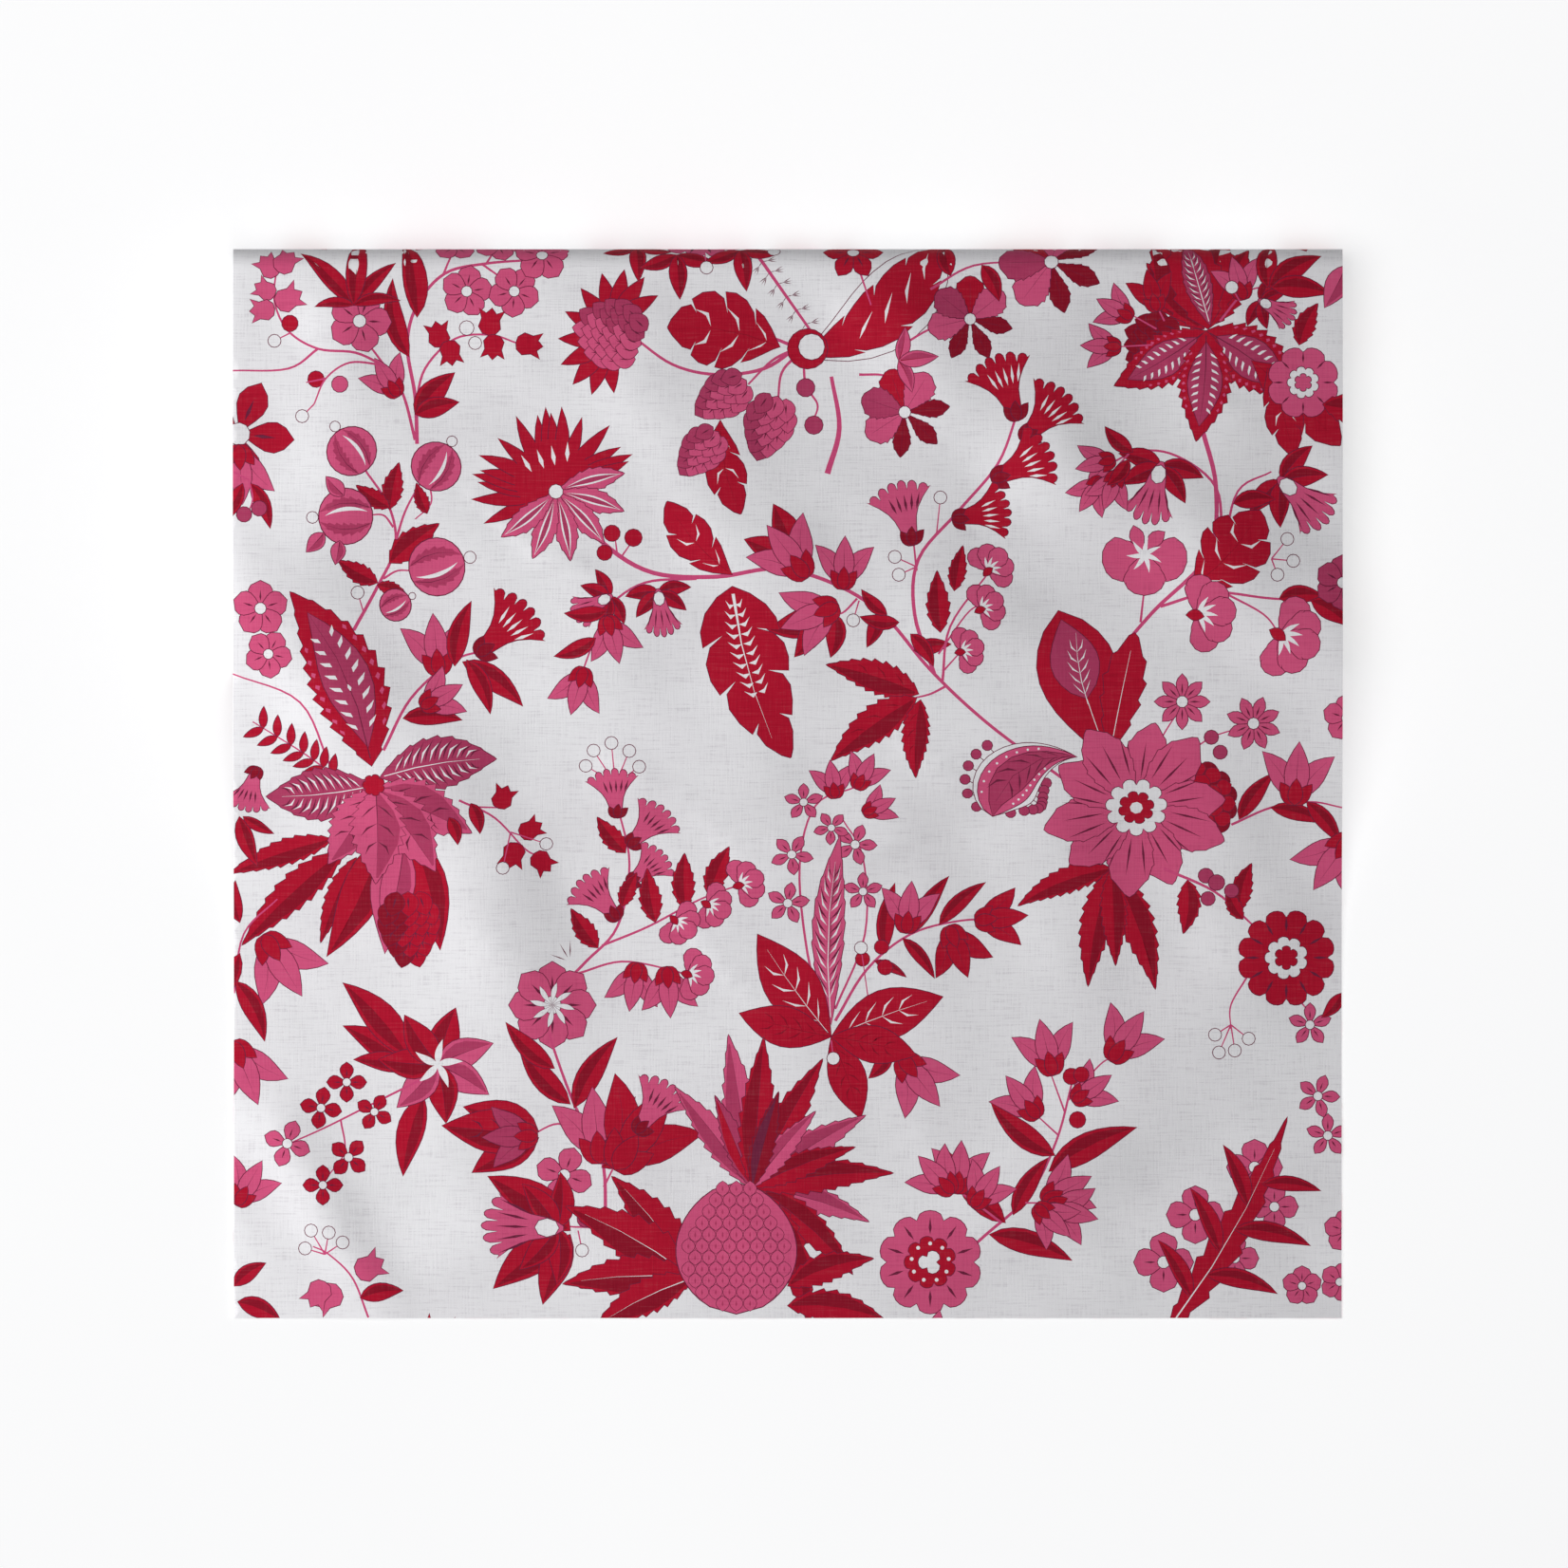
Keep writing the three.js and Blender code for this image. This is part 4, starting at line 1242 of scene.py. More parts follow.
        self.round_flower((35.2, 52.2, 0, 5.2), 10, PINK)
        self.paint(Spot(35.2, 52.2, 0, 2.6), scalloped(0.5, 9, 0.2), CRIMSON, EDGE)
        self.paint(Spot(35.2, 52.2, 0, 1.2), scalloped(0.5, 3, 0.5), GROUND, EDGE)
        for k in range(9):
            self.paint(Spot(35.2, 52.2, 40 * k).step(0, 0.95, 0, 0.2), disc(0.5, 8), GROUND)

    def corner_spray(self) -> None:
        """The long crimson leaf with pink balls in the lower right corner."""
        self.blossom((51.6, 47.4, 0, 2.8), (48.6, 49.8, 0, 2.9), (47.0, 52.2, 0, 3.0), (50.6, 52.0, 0, 2.4),
            (52.6, 49.4, 0, 2.4), petals=4, width=0.9, blunt=0.5)
        self.paint(Spot(47.2, 55.6, 38, 12.4), Blade(0.15, 0.4, -0.3, teeth=9, depth=0.3),
            CRIMSON, EDGE)
        for k, (turn, size) in enumerate(((-50, 3.4), (52, 3.8), (-46, 3.6), (50, 4.0), (-44, 3.4), (46, 3.0))):
            self.leaf((48.4 + 0.72 * k, 54.0 - 1.15 * k, 36 + turn, size), 0.24, turn / 90)
        self.vein(Spot(47.2, 55.6, 38, 12.4), Blade(0.15, 0.4, -0.3), GROUND, 0, 0.06)

    def fillers(self) -> None:
        """The small sprigs that fill the gaps and the repeat's last few centimetres."""
        self.stem((6.8, 55.0), (6.0, 53.0), (4.8, 51.8), (4.0, 51.4), width=0.11)
        self.rings((4.6, 51.8), (3.9, 50.6), (4.8, 50.7), (5.5, 51.2), (3.6, 51.5))
        self.bell((6.2, 52.8, 62, 1.5), (5.4, 53.6, -120, 1.5), (4.6, 53.2, -150, 1.4), ink=PINK)
        self.leaf((6.4, 54.0, 66, 2.2), 0.4)
        self.blossom((54.0, 53.4, 0, 2.0), (55.9, 53.2, 20, 2.0), (56.2, 50.6, 0, 2.2), petals=5)
        self.leaf((0.0, 53.4, 40, 2.0), (0.2, 54.2, 100, 2.4), width=0.4)
        self.half_daisy((20.0, 59.0, 0, 4.4), (45.0, 58.6, 40, 4.6))
        self.thistle((10.0, 58.4, 10, 5.4))
        self.trio((32.0, 58.0, -60, 3.0), (38.0, 59.0, 20, 3.2), (53.0, 59.2, 80, 3.0), (3.0, 59.6, 60, 2.8))
        self.tulip((28.0, 59.6, 20, 3.0), (34.6, 57.0, 60, 2.6), (50.0, 58.0, -40, 2.8), (15.0, 57.6, 70, 2.6))
        self.acanthus((25.0, 60.0, -70, 4.4), (41.6, 60.2, -30, 4.0), lobes=3)


# ---------------------------------------------------------------------------------------------------------
# The cloth: the line it follows, its creases and its mesh
# ---------------------------------------------------------------------------------------------------------

MM = 0.001
PLY = 0.3 * MM  # one thickness of cloth
REPEAT = 61.0  # the print's repeat along the cloth, in centimetres


def smooth(t: Points) -> Points:
    """A smooth rise from 0 to 1 as t goes from 0 to 1: 3 t ** 2 - 2 t ** 3."""
    t = np.clip(t, 0.0, 1.0)
    return t * t * (3 - 2 * t)


@dataclass(frozen=True)
class BoltSizes:
    """The sizes that every piece is made from, in metres: x along the board, y away from the cut end, z up."""

    side: float
    near: float
    far: float
    low: float
    high: float
    build: float
    lift_off: float
    crease: float
    cut: float
    thick: float
    slope: float = 0.150

    @classmethod
    def read(cls) -> BoltSizes:
        """Reads the sizes from the frame's boxes."""
        board, wound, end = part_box("board_shell"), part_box("wound_cloth"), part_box("turned_end")
        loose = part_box("loose_end")
        return cls(
            side=wound[1].x, near=board[0].y, far=board[1].y, low=board[0].z, high=board[1].z,
            build=wound[1].y - board[1].y, lift_off=min(loose[1].y, board[0].y - PLY), crease=loose[0].y,
            cut=end[0].y, thick=end[1].z,
        )


@dataclass(frozen=True)
class Course:
    """The line that the outside of the cloth follows, seen from the bolt's end, sampled every quarter millimetre.

    s is the distance along it. It is 0 where the cloth's far side turns over on to the bolt's top, below 0 back
    round the bolt, and above 0 over the top and down to the cut end.
    """

    s: Points
    y: Points
    z: Points
    heading: Points

    @classmethod
    def over(cls, bolt: BoltSizes) -> Course:
        """The course round this bolt, over its top and down to the table.

        Args:
            bolt: the bolt's sizes.

        Returns:
            The course. Its heading is a piecewise linear function of s, so each leg is a line or an arc, and its
            points are the running sum of the heading's cosine and sine. The drawn-off cloth leaves the top on
            one arc and meets the table on an equal arc that turns the other way.
        """
        top = bolt.high + bolt.build
        drop = (top - bolt.thick) / 2
        tilt = 2 * math.atan2(drop, bolt.slope / 2)
        swoop = bolt.slope / 2 / math.sin(tilt) * tilt
        corner, width, depth = bolt.build * math.pi / 2, bolt.far - bolt.near, bolt.high - bolt.low
        tuck = math.radians(50)
        legs = (
            (bolt.build * (math.pi / 2 - tuck), math.pi / 2 - tuck), (depth, 0), (corner, math.pi / 2), (width, 0),
            (corner, math.pi / 2), (depth, 0), (corner, math.pi / 2), (bolt.far - bolt.lift_off, 0),
            (swoop, tilt), (swoop, -tilt), (bolt.lift_off - bolt.slope - bolt.cut, 0),
        )
        lengths, turns = np.array(legs).T
        knots = np.append(0.0, np.cumsum(lengths))
        s = np.linspace(0.0, knots[-1], int(knots[-1] / 0.00025))
        heading = np.interp(s, knots, np.append(0.0, np.cumsum(turns)) + math.pi + tuck)
        middle = (heading[1:] + heading[:-1]) / 2
        ahead = np.diff(s)[:, None] * np.column_stack((np.cos(middle), np.sin(middle)))
        start = (bolt.near - bolt.build * math.sin(tuck), bolt.high + bolt.build * math.cos(tuck))
        y, z = (np.vstack(((0.0, 0.0), np.cumsum(ahead, axis=0))) + start).T
        return cls(s - knots[6], y, z, heading)

    def at(self, s: Points) -> tuple[Points, Points, Points, Points]:
        """The points on the course and the outward directions there.

        Args:
            s: distances along the course.

        Returns:
            y, z, and the outward direction's y and z, which are sin and -cos of the heading.
        """
        heading = np.interp(s, self.s, self.heading)
        return np.interp(s, self.s, self.y), np.interp(s, self.s, self.z), np.sin(heading), -np.cos(heading)


@dataclass(frozen=True)
class Crease:
    """A soft ridge or hollow in the cloth, along given points in centimetres."""

    rise: float
    width: float
    points: tuple[tuple[float, float], ...]

    def height(self, u: Points, v: Points) -> Points:
        """Its height in millimetres: rise * exp(-(distance / width) ** 2), faded towards both ends.

        Args:
            u: places across the cloth, in centimetres.
            v: places along it.

        Returns:
            The heights.
        """
        total = np.zeros_like(u)
        weight = np.full_like(u, 1e-9)
        for (au, av), (bu, bv) in zip(self.points[:-1], self.points[1:]):
            du, dv = bu - au, bv - av
            length = math.hypot(du, dv)
            t = ((u - au) * du + (v - av) * dv) / length**2
            aside = ((u - au) * dv - (v - av) * du) / length
            beyond = np.maximum(np.maximum(-t, t - 1), 0) * length
            near = np.exp(-((aside / self.width) ** 2) - (beyond / (1.6 * self.width)) ** 2)
            total += near**2
            weight += near
        return self.rise * total / weight


@dataclass(frozen=True)
class Drape:
    """How the loosely laid cloth rises and falls: a few broad folds, small creases and a faint unevenness.

    hinge is where the cloth can be turned back, and end its cut end, in metres along the course.
    """

    hinge: float
    end: float
    creases: tuple[Crease, ...] = (
        Crease(4.6, 3.0, ((2.4, 19.0), (5.6, 23.6), (9.4, 28.0), (12.8, 33.8), (14.2, 40.0))),
        Crease(-2.2, 2.8, ((11.5, 20.5), (16.4, 27.5), (18.4, 34.0), (19.2, 40.0))),
        Crease(4.8, 3.0, ((31.6, 0.5), (35.2, 5.2), (41.0, 10.4), (48.6, 15.2), (57.0, 21.0))),
        Crease(-2.6, 2.6, ((28.6, 4.5), (32.4, 9.8), (39.5, 15.2), (47.5, 20.5))),
        Crease(3.0, 2.6, ((21.0, 7.5), (24.0, 13.5), (29.5, 17.4), (37.5, 18.6))),
        Crease(2.4, 2.4, ((4.6, 0.0), (5.4, 6.0), (5.0, 14.0))),
        Crease(3.0, 1.7, ((2.6, 45.5), (4.6, 49.5), (7.4, 54.5))),
        Crease(2.4, 2.8, ((51.5, 37.5), (46.5, 42.5), (40.5, 47.5))),
        Crease(1.3, 2.4, ((26.0, 27.0), (30.0, 35.5), (29.0, 45.0))),
        Crease(1.6, 3.4, ((51.0, 0.0), (53.5, 6.5))),
        Crease(1.2, 2.6, ((38.5, 27.0), (44.0, 33.0), (52.0, 35.0))),
        Crease(0.6, 0.7, ((19.5, 26.4), (22.5, 28.2), (25.4, 31.2))),
        Crease(0.55, 0.5, ((23.2, 35.4), (25.6, 38.2))),
        Crease(0.5, 0.5, ((12.4, 13.0), (15.4, 15.8), (19.4, 17.4))),
        Crease(0.45, 0.45, ((28.6, 46.2), (31.8, 44.8), (34.6, 45.4))),
        Crease(0.5, 0.55, ((34.2, 25.6), (36.8, 27.6))),
        Crease(0.45, 0.4, ((47.4, 6.4), (51.4, 9.2))),
        Crease(0.5, 0.5, ((27.6, 30.8), (30.2, 31.8), (33.2, 31.0))),
        Crease(0.4, 0.5, ((13.0, 36.0), (16.6, 38.6), (18.4, 42.2))),
    )
    floor: float = 1.2
    seed: int = 7

    def rise(self, u: Points, s: Points) -> Points:
        """The cloth's height over its tight course, in metres.

        Args:
            u: places across the cloth from the fold, in metres.
            s: places along the course, in metres.

        Returns:
            The sum x of the creases and ten faint sine waves, kept above zero as (x + sqrt(x ** 2 + c ** 2)) / 2,
            and faded out on the bolt's far side, where the cloth is pulled tight.
        """
        u, v = 100 * u, 100 * s
        x = np.full_like(u, self.floor)
        for crease in self.creases:
            x += crease.height(u, v)
        draw = np.random.default_rng(self.seed)
        for _ in range(10):
            wave, turn, phase = draw.uniform(3.5, 11.0), draw.uniform(0, np.pi), draw.uniform(0, 2 * np.pi)
            x += 0.028 * wave * np.sin(2 * np.pi * (u * np.cos(turn) + v * np.sin(turn)) / wave + phase)
        x = (x + np.sqrt(x * x + 0.8)) / 2
        calm = 1 - 0.7 * np.exp(-(((v - 100 * self.hinge - 1.0) / 3.0) ** 2))
        return MM * x * calm * smooth((v - 0.3) / 4.0) * (0.35 + 0.65 * smooth((100 * self.end - 0.4 - v) / 2.4))


def within(points: Points, shape: Points) -> Points:
    """Tells which points lie inside a shape.

    Args:
        points: an (n, 2) array.
        shape: a closed outline, which may cross itself.

    Returns:
        A flag for each point: whether the outline's winding number round it isn't 0. Each edge that passes the
        point's level adds 1 going up on its right, and takes 1 going down.
    """
    ahead = np.roll(shape, -1, axis=0)
    inside = np.zeros(len(points), bool)
    near = np.flatnonzero(np.all((points > shape.min(0)) & (points < shape.max(0)), axis=1))
    x, y = points[near, 0][:, None], points[near, 1][:, None]
    left = (ahead[:, 0] - shape[:, 0]) * (y - shape[:, 1]) - (x - shape[:, 0]) * (ahead[:, 1] - shape[:, 1])
    rising = (shape[:, 1] <= y) & (ahead[:, 1] > y) & (left > 0)
    falling = (shape[:, 1] > y) & (ahead[:, 1] <= y) & (left < 0)
    inside[near] = rising.sum(axis=1) != falling.sum(axis=1)
    return inside


@dataclass
class Ply:
    """One thickness of cloth as a closed mesh, with the print on one face.

    The printed face is cut into triangles along the edges of the print's shapes and round a grid of points, so
    that it follows the cloth's folds. The plain face has a grid of the same cells and shares the printed face's edge.
    """

    name: str
    bolt: BoltSizes
    course: Course
    drape: Drape
    start: float
    end: float
    outward: bool = True
    slack: float = 1.0
    cell: float = 0.8
    block: int = 10
    shapes: list[tuple[Points, Ink]] = field(default_factory=list)

    def surface(self, u: Points, s: Points, face: int) -> Points:
        """Points on one face.

        Args:
            u: places across the cloth from the fold, in metres.
            s: places along the course.
            face: 0 for the outward face, 1 for the inward face.

        Returns:
            The course's point, moved out by the drape's height and in by the plies above. Within half a
            millimetre of the fold the ply bends towards the other one on a quarter ellipse.
        """
        y, z, out_y, out_z = self.course.at(s)
        rise = self.slack * self.drape.rise(u, s)
        if self.outward:
            below, toward = PLY * face, -1.0
        else:
            free = smooth((self.bolt.far - self.bolt.lift_off - s) / -0.05)
            below, toward = PLY * (1 + face + free), 1.0
            rise = rise * free
        bend = PLY * (1 - np.sqrt(np.clip(1 - (1 - np.clip(u / (1.5 * PLY), 0, 1)) ** 2, 0, 1)))
        out = rise - below + 0.5 * toward * bend
        return np.column_stack((u - self.bolt.side, y + out * out_y, z + out * out_z))

    def normals(self, u: Points, s: Points, face: int) -> Points:
        """Unit normals of one face, from the surface's two slopes, each measured over half a millimetre."""
        reach = 0.25 * MM
        across = self.surface(u + reach, s, face) - self.surface(u - reach, s, face)
        along = self.surface(u, s + reach, face) - self.surface(u, s - reach, face)
        normal = np.cross(along, across) * (1.0 if face == 0 else -1.0)
        return normal / np.linalg.norm(normal, axis=1, keepdims=True)

    def rows(self) -> Points:
        """The grid's rows along the cloth in centimetres: an even step, and a fine one where the cloth bends."""
        first, last = 100 * self.start, 100 * self.end
        turning = 100 * self.course.s[np.abs(np.gradient(self.course.heading, self.course.s)) > 50]
        even = np.linspace(first, last, max(3, round((last - first) / self.cell) + 1))
        fine = np.arange(first, last, 0.15)
        low, high = 100 * self.drape.hinge - 0.1, 100 * self.drape.hinge + 3.1
        close = (np.min(np.abs(fine[:, None] - turning[None, ::4]), axis=1) < 0.12) | ((fine > low) & (fine < high))
        plain = (np.min(np.abs(even[:, None] - turning[None, ::4]), axis=1) > 0.3) & ((even <= low) | (even >= high))
        inner = np.unique(np.concatenate((even[plain], fine[close])).round(2))
        return np.concatenate(((first,), inner[(inner > first + 0.03) & (inner < last - 0.03)], (last,))).round(3)

    def patch(self, columns: Points, rows: Points) -> tuple[Points, Points, Points]:
        """Cuts one rectangle of the printed face into triangles along the print's edges.

        Args:
            columns: the grid's columns across it, in centimetres.
            rows: the grid's rows along it.

        Returns:
            The points as (u, v), the triangles, and each triangle's ink: that of the last shape laid there.
        """
        left, right, first, last = columns[0], columns[-1], rows[0], rows[-1]
        edge = np.vstack((
            np.column_stack((columns[:-1], np.full(len(columns) - 1, first))),
            np.column_stack((np.full(len(rows) - 1, right), rows[:-1])),
            np.column_stack((columns[:0:-1], np.full(len(columns) - 1, last))),
            np.column_stack((np.full(len(rows) - 1, left), rows[:0:-1])),
        ))
        inside = np.stack(np.meshgrid(columns[1:-1], rows[1:-1]), axis=-1).reshape(-1, 2)
        low_corner, high_corner = np.array((left, first)), np.array((right, last))
        near = [(shape, ink) for shape, ink in self.shapes
                if np.all(shape.max(0) > low_corner) and np.all(shape.min(0) < high_corner)]
        starts = np.cumsum([len(edge), *(len(shape) for shape, _ in near)])
        faces = [list(range(len(edge)))] + [list(range(a, b)) for a, b in zip(starts[:-1], starts[1:])]
        every = np.vstack((edge, *(shape for shape, _ in near), inside))
        flat, _, triangles, *_ = delaunay_2d_cdt([Vector(p) for p in every.tolist()], [], faces, 0, 1e-4, False)
        flat, triangles = np.array([tuple(p) for p in flat]), np.array(triangles)
        middle = flat[triangles].mean(axis=1)
        kept = np.all((middle > low_corner) & (middle < high_corner), axis=1)
        triangles, middle = triangles[kept], middle[kept]
        inks = np.full(len(triangles), GROUND.value)
        for shape, ink in near:
            inks[within(middle, shape)] = ink.value
        return flat, triangles, inks

    def triangulate(self) -> tuple[Points, Points, Points]:
        """Cuts the printed face into triangles, patch by patch, and joins the patches.

        Returns:
            The points as (u, v) in centimetres, the triangles, and each triangle's ink.
        """
        wide = 200 * self.bolt.side
        columns, rows = np.linspace(0.0, wide, round(wide / self.cell) + 1), self.rows()
        columns = np.concatenate(((0.0, 0.02, 0.045), columns[1:].round(2)))
        across, along = range(0, len(columns) - 1, self.block), range(0, len(rows) - 1, self.block)
        points, triangles, inks, count = [], [], [], 0
        for i in across:
            for j in along:
                flat, some, ink = self.patch(columns[i:i + self.block + 1], rows[j:j + self.block + 1])
                points.append(flat)
                triangles.append(some + count)
                inks.append(ink)
                count += len(flat)
        every, joined = np.vstack(points).round(3), np.vstack(triangles)
        flat, index = np.unique(every[joined].reshape(-1, 2), axis=0, return_inverse=True)
        joined = index.reshape(-1, 3)
        whole = (joined[:, 0] != joined[:, 1]) & (joined[:, 1] != joined[:, 2]) & (joined[:, 2] != joined[:, 0])
        return flat, joined[whole], np.concatenate(inks)[whole]

    def border(self, flat: Points) -> Points:
        """The points round the printed face, in order.

        Args:
            flat: its points as (u, v) in centimetres.

        Returns:
            The indices of the points on its four sides, each side's sorted along it.
        """
        wide, first, last = 200 * self.bolt.side, 100 * self.start, 100 * self.end
        u, v = flat.T
        sides = ((np.abs(v - first), u), (np.abs(u - wide), v), (np.abs(v - last), -u), (np.abs(u), -v))
        loop = []
        for off, order in sides:
            lying = np.flatnonzero(off < 1.5e-3)
            loop.append(lying[np.argsort(order[lying])][:-1])
        return np.concatenate(loop)

    def build(self) -> bpy.types.Object:
        """Makes the ply.

        Returns:
            Its object, with its ink as a colour on each corner, its place on the cloth in the UV map Cloth, and
            a second UV map, OFBake, spread over the unit square.
        """
        flat, triangles, inks = self.triangulate()
        loop = self.border(flat)
        wide, first, last = 200 * self.bolt.side, 100 * self.start, 100 * self.end
        columns = np.linspace(0, wide, round(wide / self.cell) + 1)[1:-1]
        coarse = np.stack(np.meshgrid(columns, self.rows()[1:-1]), axis=-1).reshape(-1, 2)
        verts = [Vector(p) for p in np.vstack((flat[loop], coarse)).tolist()]
        back, _, rear, sources, _, _ = delaunay_2d_cdt(verts, [], [list(range(len(loop)))], 1, 1e-5, True)
        back, rear = np.array([tuple(p) for p in back]), np.array(rear)
        partner = np.full(len(loop), -1)
        for index, source in enumerate(sources):
            for known in source:
                if known < len(loop):
                    partner[known] = index
        print_side = 0 if self.outward else 1
        count = len(flat)
        ahead = np.roll(np.arange(len(loop)), -1)
        a, b = loop, loop[ahead]
        c, d = count + partner[ahead], count + partner
        walls = np.vstack((np.column_stack((b, a, d)), np.column_stack((b, d, c))))
        faces = np.vstack((triangles, rear[:, ::-1] + count, walls))
        every = np.vstack((flat, back))
        u, s = every[:, 0] / 100, every[:, 1] / 100
        side = np.append(np.full(count, print_side), np.full(len(back), 1 - print_side))
        places = np.where((side == 0)[:, None], self.surface(u, s, 0), self.surface(u, s, 1))
        normals = np.where((side == 0)[:, None], self.normals(u, s, 0), self.normals(u, s, 1))
        sample = places[triangles[: 200]]
        facing = np.cross(sample[:, 1] - sample[:, 0], sample[:, 2] - sample[:, 0])
        if np.sum(facing * normals[triangles[:200, 0]]) < 0:
            faces = faces[:, ::-1]
        mesh = bpy.data.meshes.new(self.name)
        mesh.from_pydata(places.tolist(), [], faces.tolist())
        corners = faces.reshape(-1)
        kind = np.repeat(np.arange(len(faces)), 3)
        is_wall = kind >= len(faces) - len(walls)
        one = places[faces[:, 1]] - places[faces[:, 0]]
        flat_normal = np.cross(one, places[faces[:, 2]] - places[faces[:, 0]])
        flat_normal /= np.maximum(np.linalg.norm(flat_normal, axis=1, keepdims=True), 1e-12)
        shading = np.where(is_wall[:, None], flat_normal[kind], normals[corners])
        colours = np.array([PALETTE[ink] for ink in Ink])
        ink = np.append(inks, np.zeros(len(faces) - len(inks), int))
        paint = np.column_stack((colours[ink[kind]], np.ones(len(kind))))
        mesh.color_attributes.new("ink", "FLOAT_COLOR", "CORNER").data.foreach_set("color", paint.ravel())
        printed = kind < len(triangles)
        cloth = np.column_stack((u[corners], s[corners]))
        mesh.uv_layers.new(name="Cloth").data.foreach_set("uv", cloth.ravel())
        share = np.column_stack((every[corners, 0] / wide, (every[corners, 1] - first) / (last - first)))
        share[:, 0] = np.where(printed, 0.004 + 0.95 * share[:, 0], 0.962 + 0.034 * share[:, 0])
        share[:, 1] = 0.004 + 0.992 * share[:, 1]
        mesh.uv_layers.new(name="OFBake").data.foreach_set("uv", share.ravel())
        mesh.shade_smooth()
        mesh.normals_split_custom_set(shading.tolist())
        piece = bpy.data.objects.new(self.name, mesh)
        bpy.context.scene.collection.objects.link(piece)
        LOG.info("%s: %d triangles, %.3f m of cloth", self.name, len(faces), self.end - self.start)
        return piece


def shifted(shapes: list[tuple[Points, Ink]], along: float, mirror: float = 0.0) -> list[tuple[Points, Ink]]:
    """The print moved along the cloth.

    Args:
        shapes: the print's shapes.
        along: how far, in centimetres.
        mirror: the cloth's width to mirror the print in, or 0 to leave it as it is.

    Returns:
        The moved shapes.
    """
    flip, add = (-1.0, mirror) if mirror else (1.0, 0.0)
    return [(points * (flip, 1.0) + (add, along), ink) for points, ink in shapes]


# ---------------------------------------------------------------------------------------------------------
# Carried sections: the wound turns, the cards and the pins
# ---------------------------------------------------------------------------------------------------------


def solid(name: str, points: Points, closed: bool, ends: bool, sharp: float = 35.0) -> bpy.types.Object:
    """A piece made from rows of points: each row joins the next one, and each point the next in its row.

    Args:
        name: the piece's name.
        points: an (n, m, 3) array of n rows with m points round each.
        closed: whether the last row joins the first.
        ends: whether the first and last rows are filled in.
        sharp: the edge angle, in degrees, past which an edge is shaded sharp.

    Returns:
        The object. Its UV map gives each point's share round the row and along the rows.
    """
    rows, around = points.shape[:2]
    index = np.arange(rows * around).reshape(rows, around)
    ahead = np.roll(index, -1, axis=0) if closed else index[1:]
    here = index if closed else index[:-1]
    quads = np.stack((here, np.roll(here, -1, axis=1), np.roll(ahead, -1, axis=1), ahead), axis=-1).reshape(-1, 4)
    faces = quads.tolist()
    if ends:
        faces += [index[0, ::-1].tolist(), index[-1].tolist()]
    mesh = bpy.data.meshes.new(name)
    mesh.from_pydata(points.reshape(-1, 3).tolist(), [], faces)
    mesh.update()
    piece = bpy.data.objects.new(name, mesh)
    bpy.context.scene.collection.objects.link(piece)
    work = bmesh.new()
    work.from_mesh(mesh)
    bmesh.ops.recalc_face_normals(work, faces=work.faces)
    work.to_mesh(mesh)
    work.free()
    mesh.shade_smooth()
    mesh.set_sharp_from_angle(angle=math.radians(sharp))
    LOG.info("%s: %d faces", name, len(mesh.polygons))
    return piece


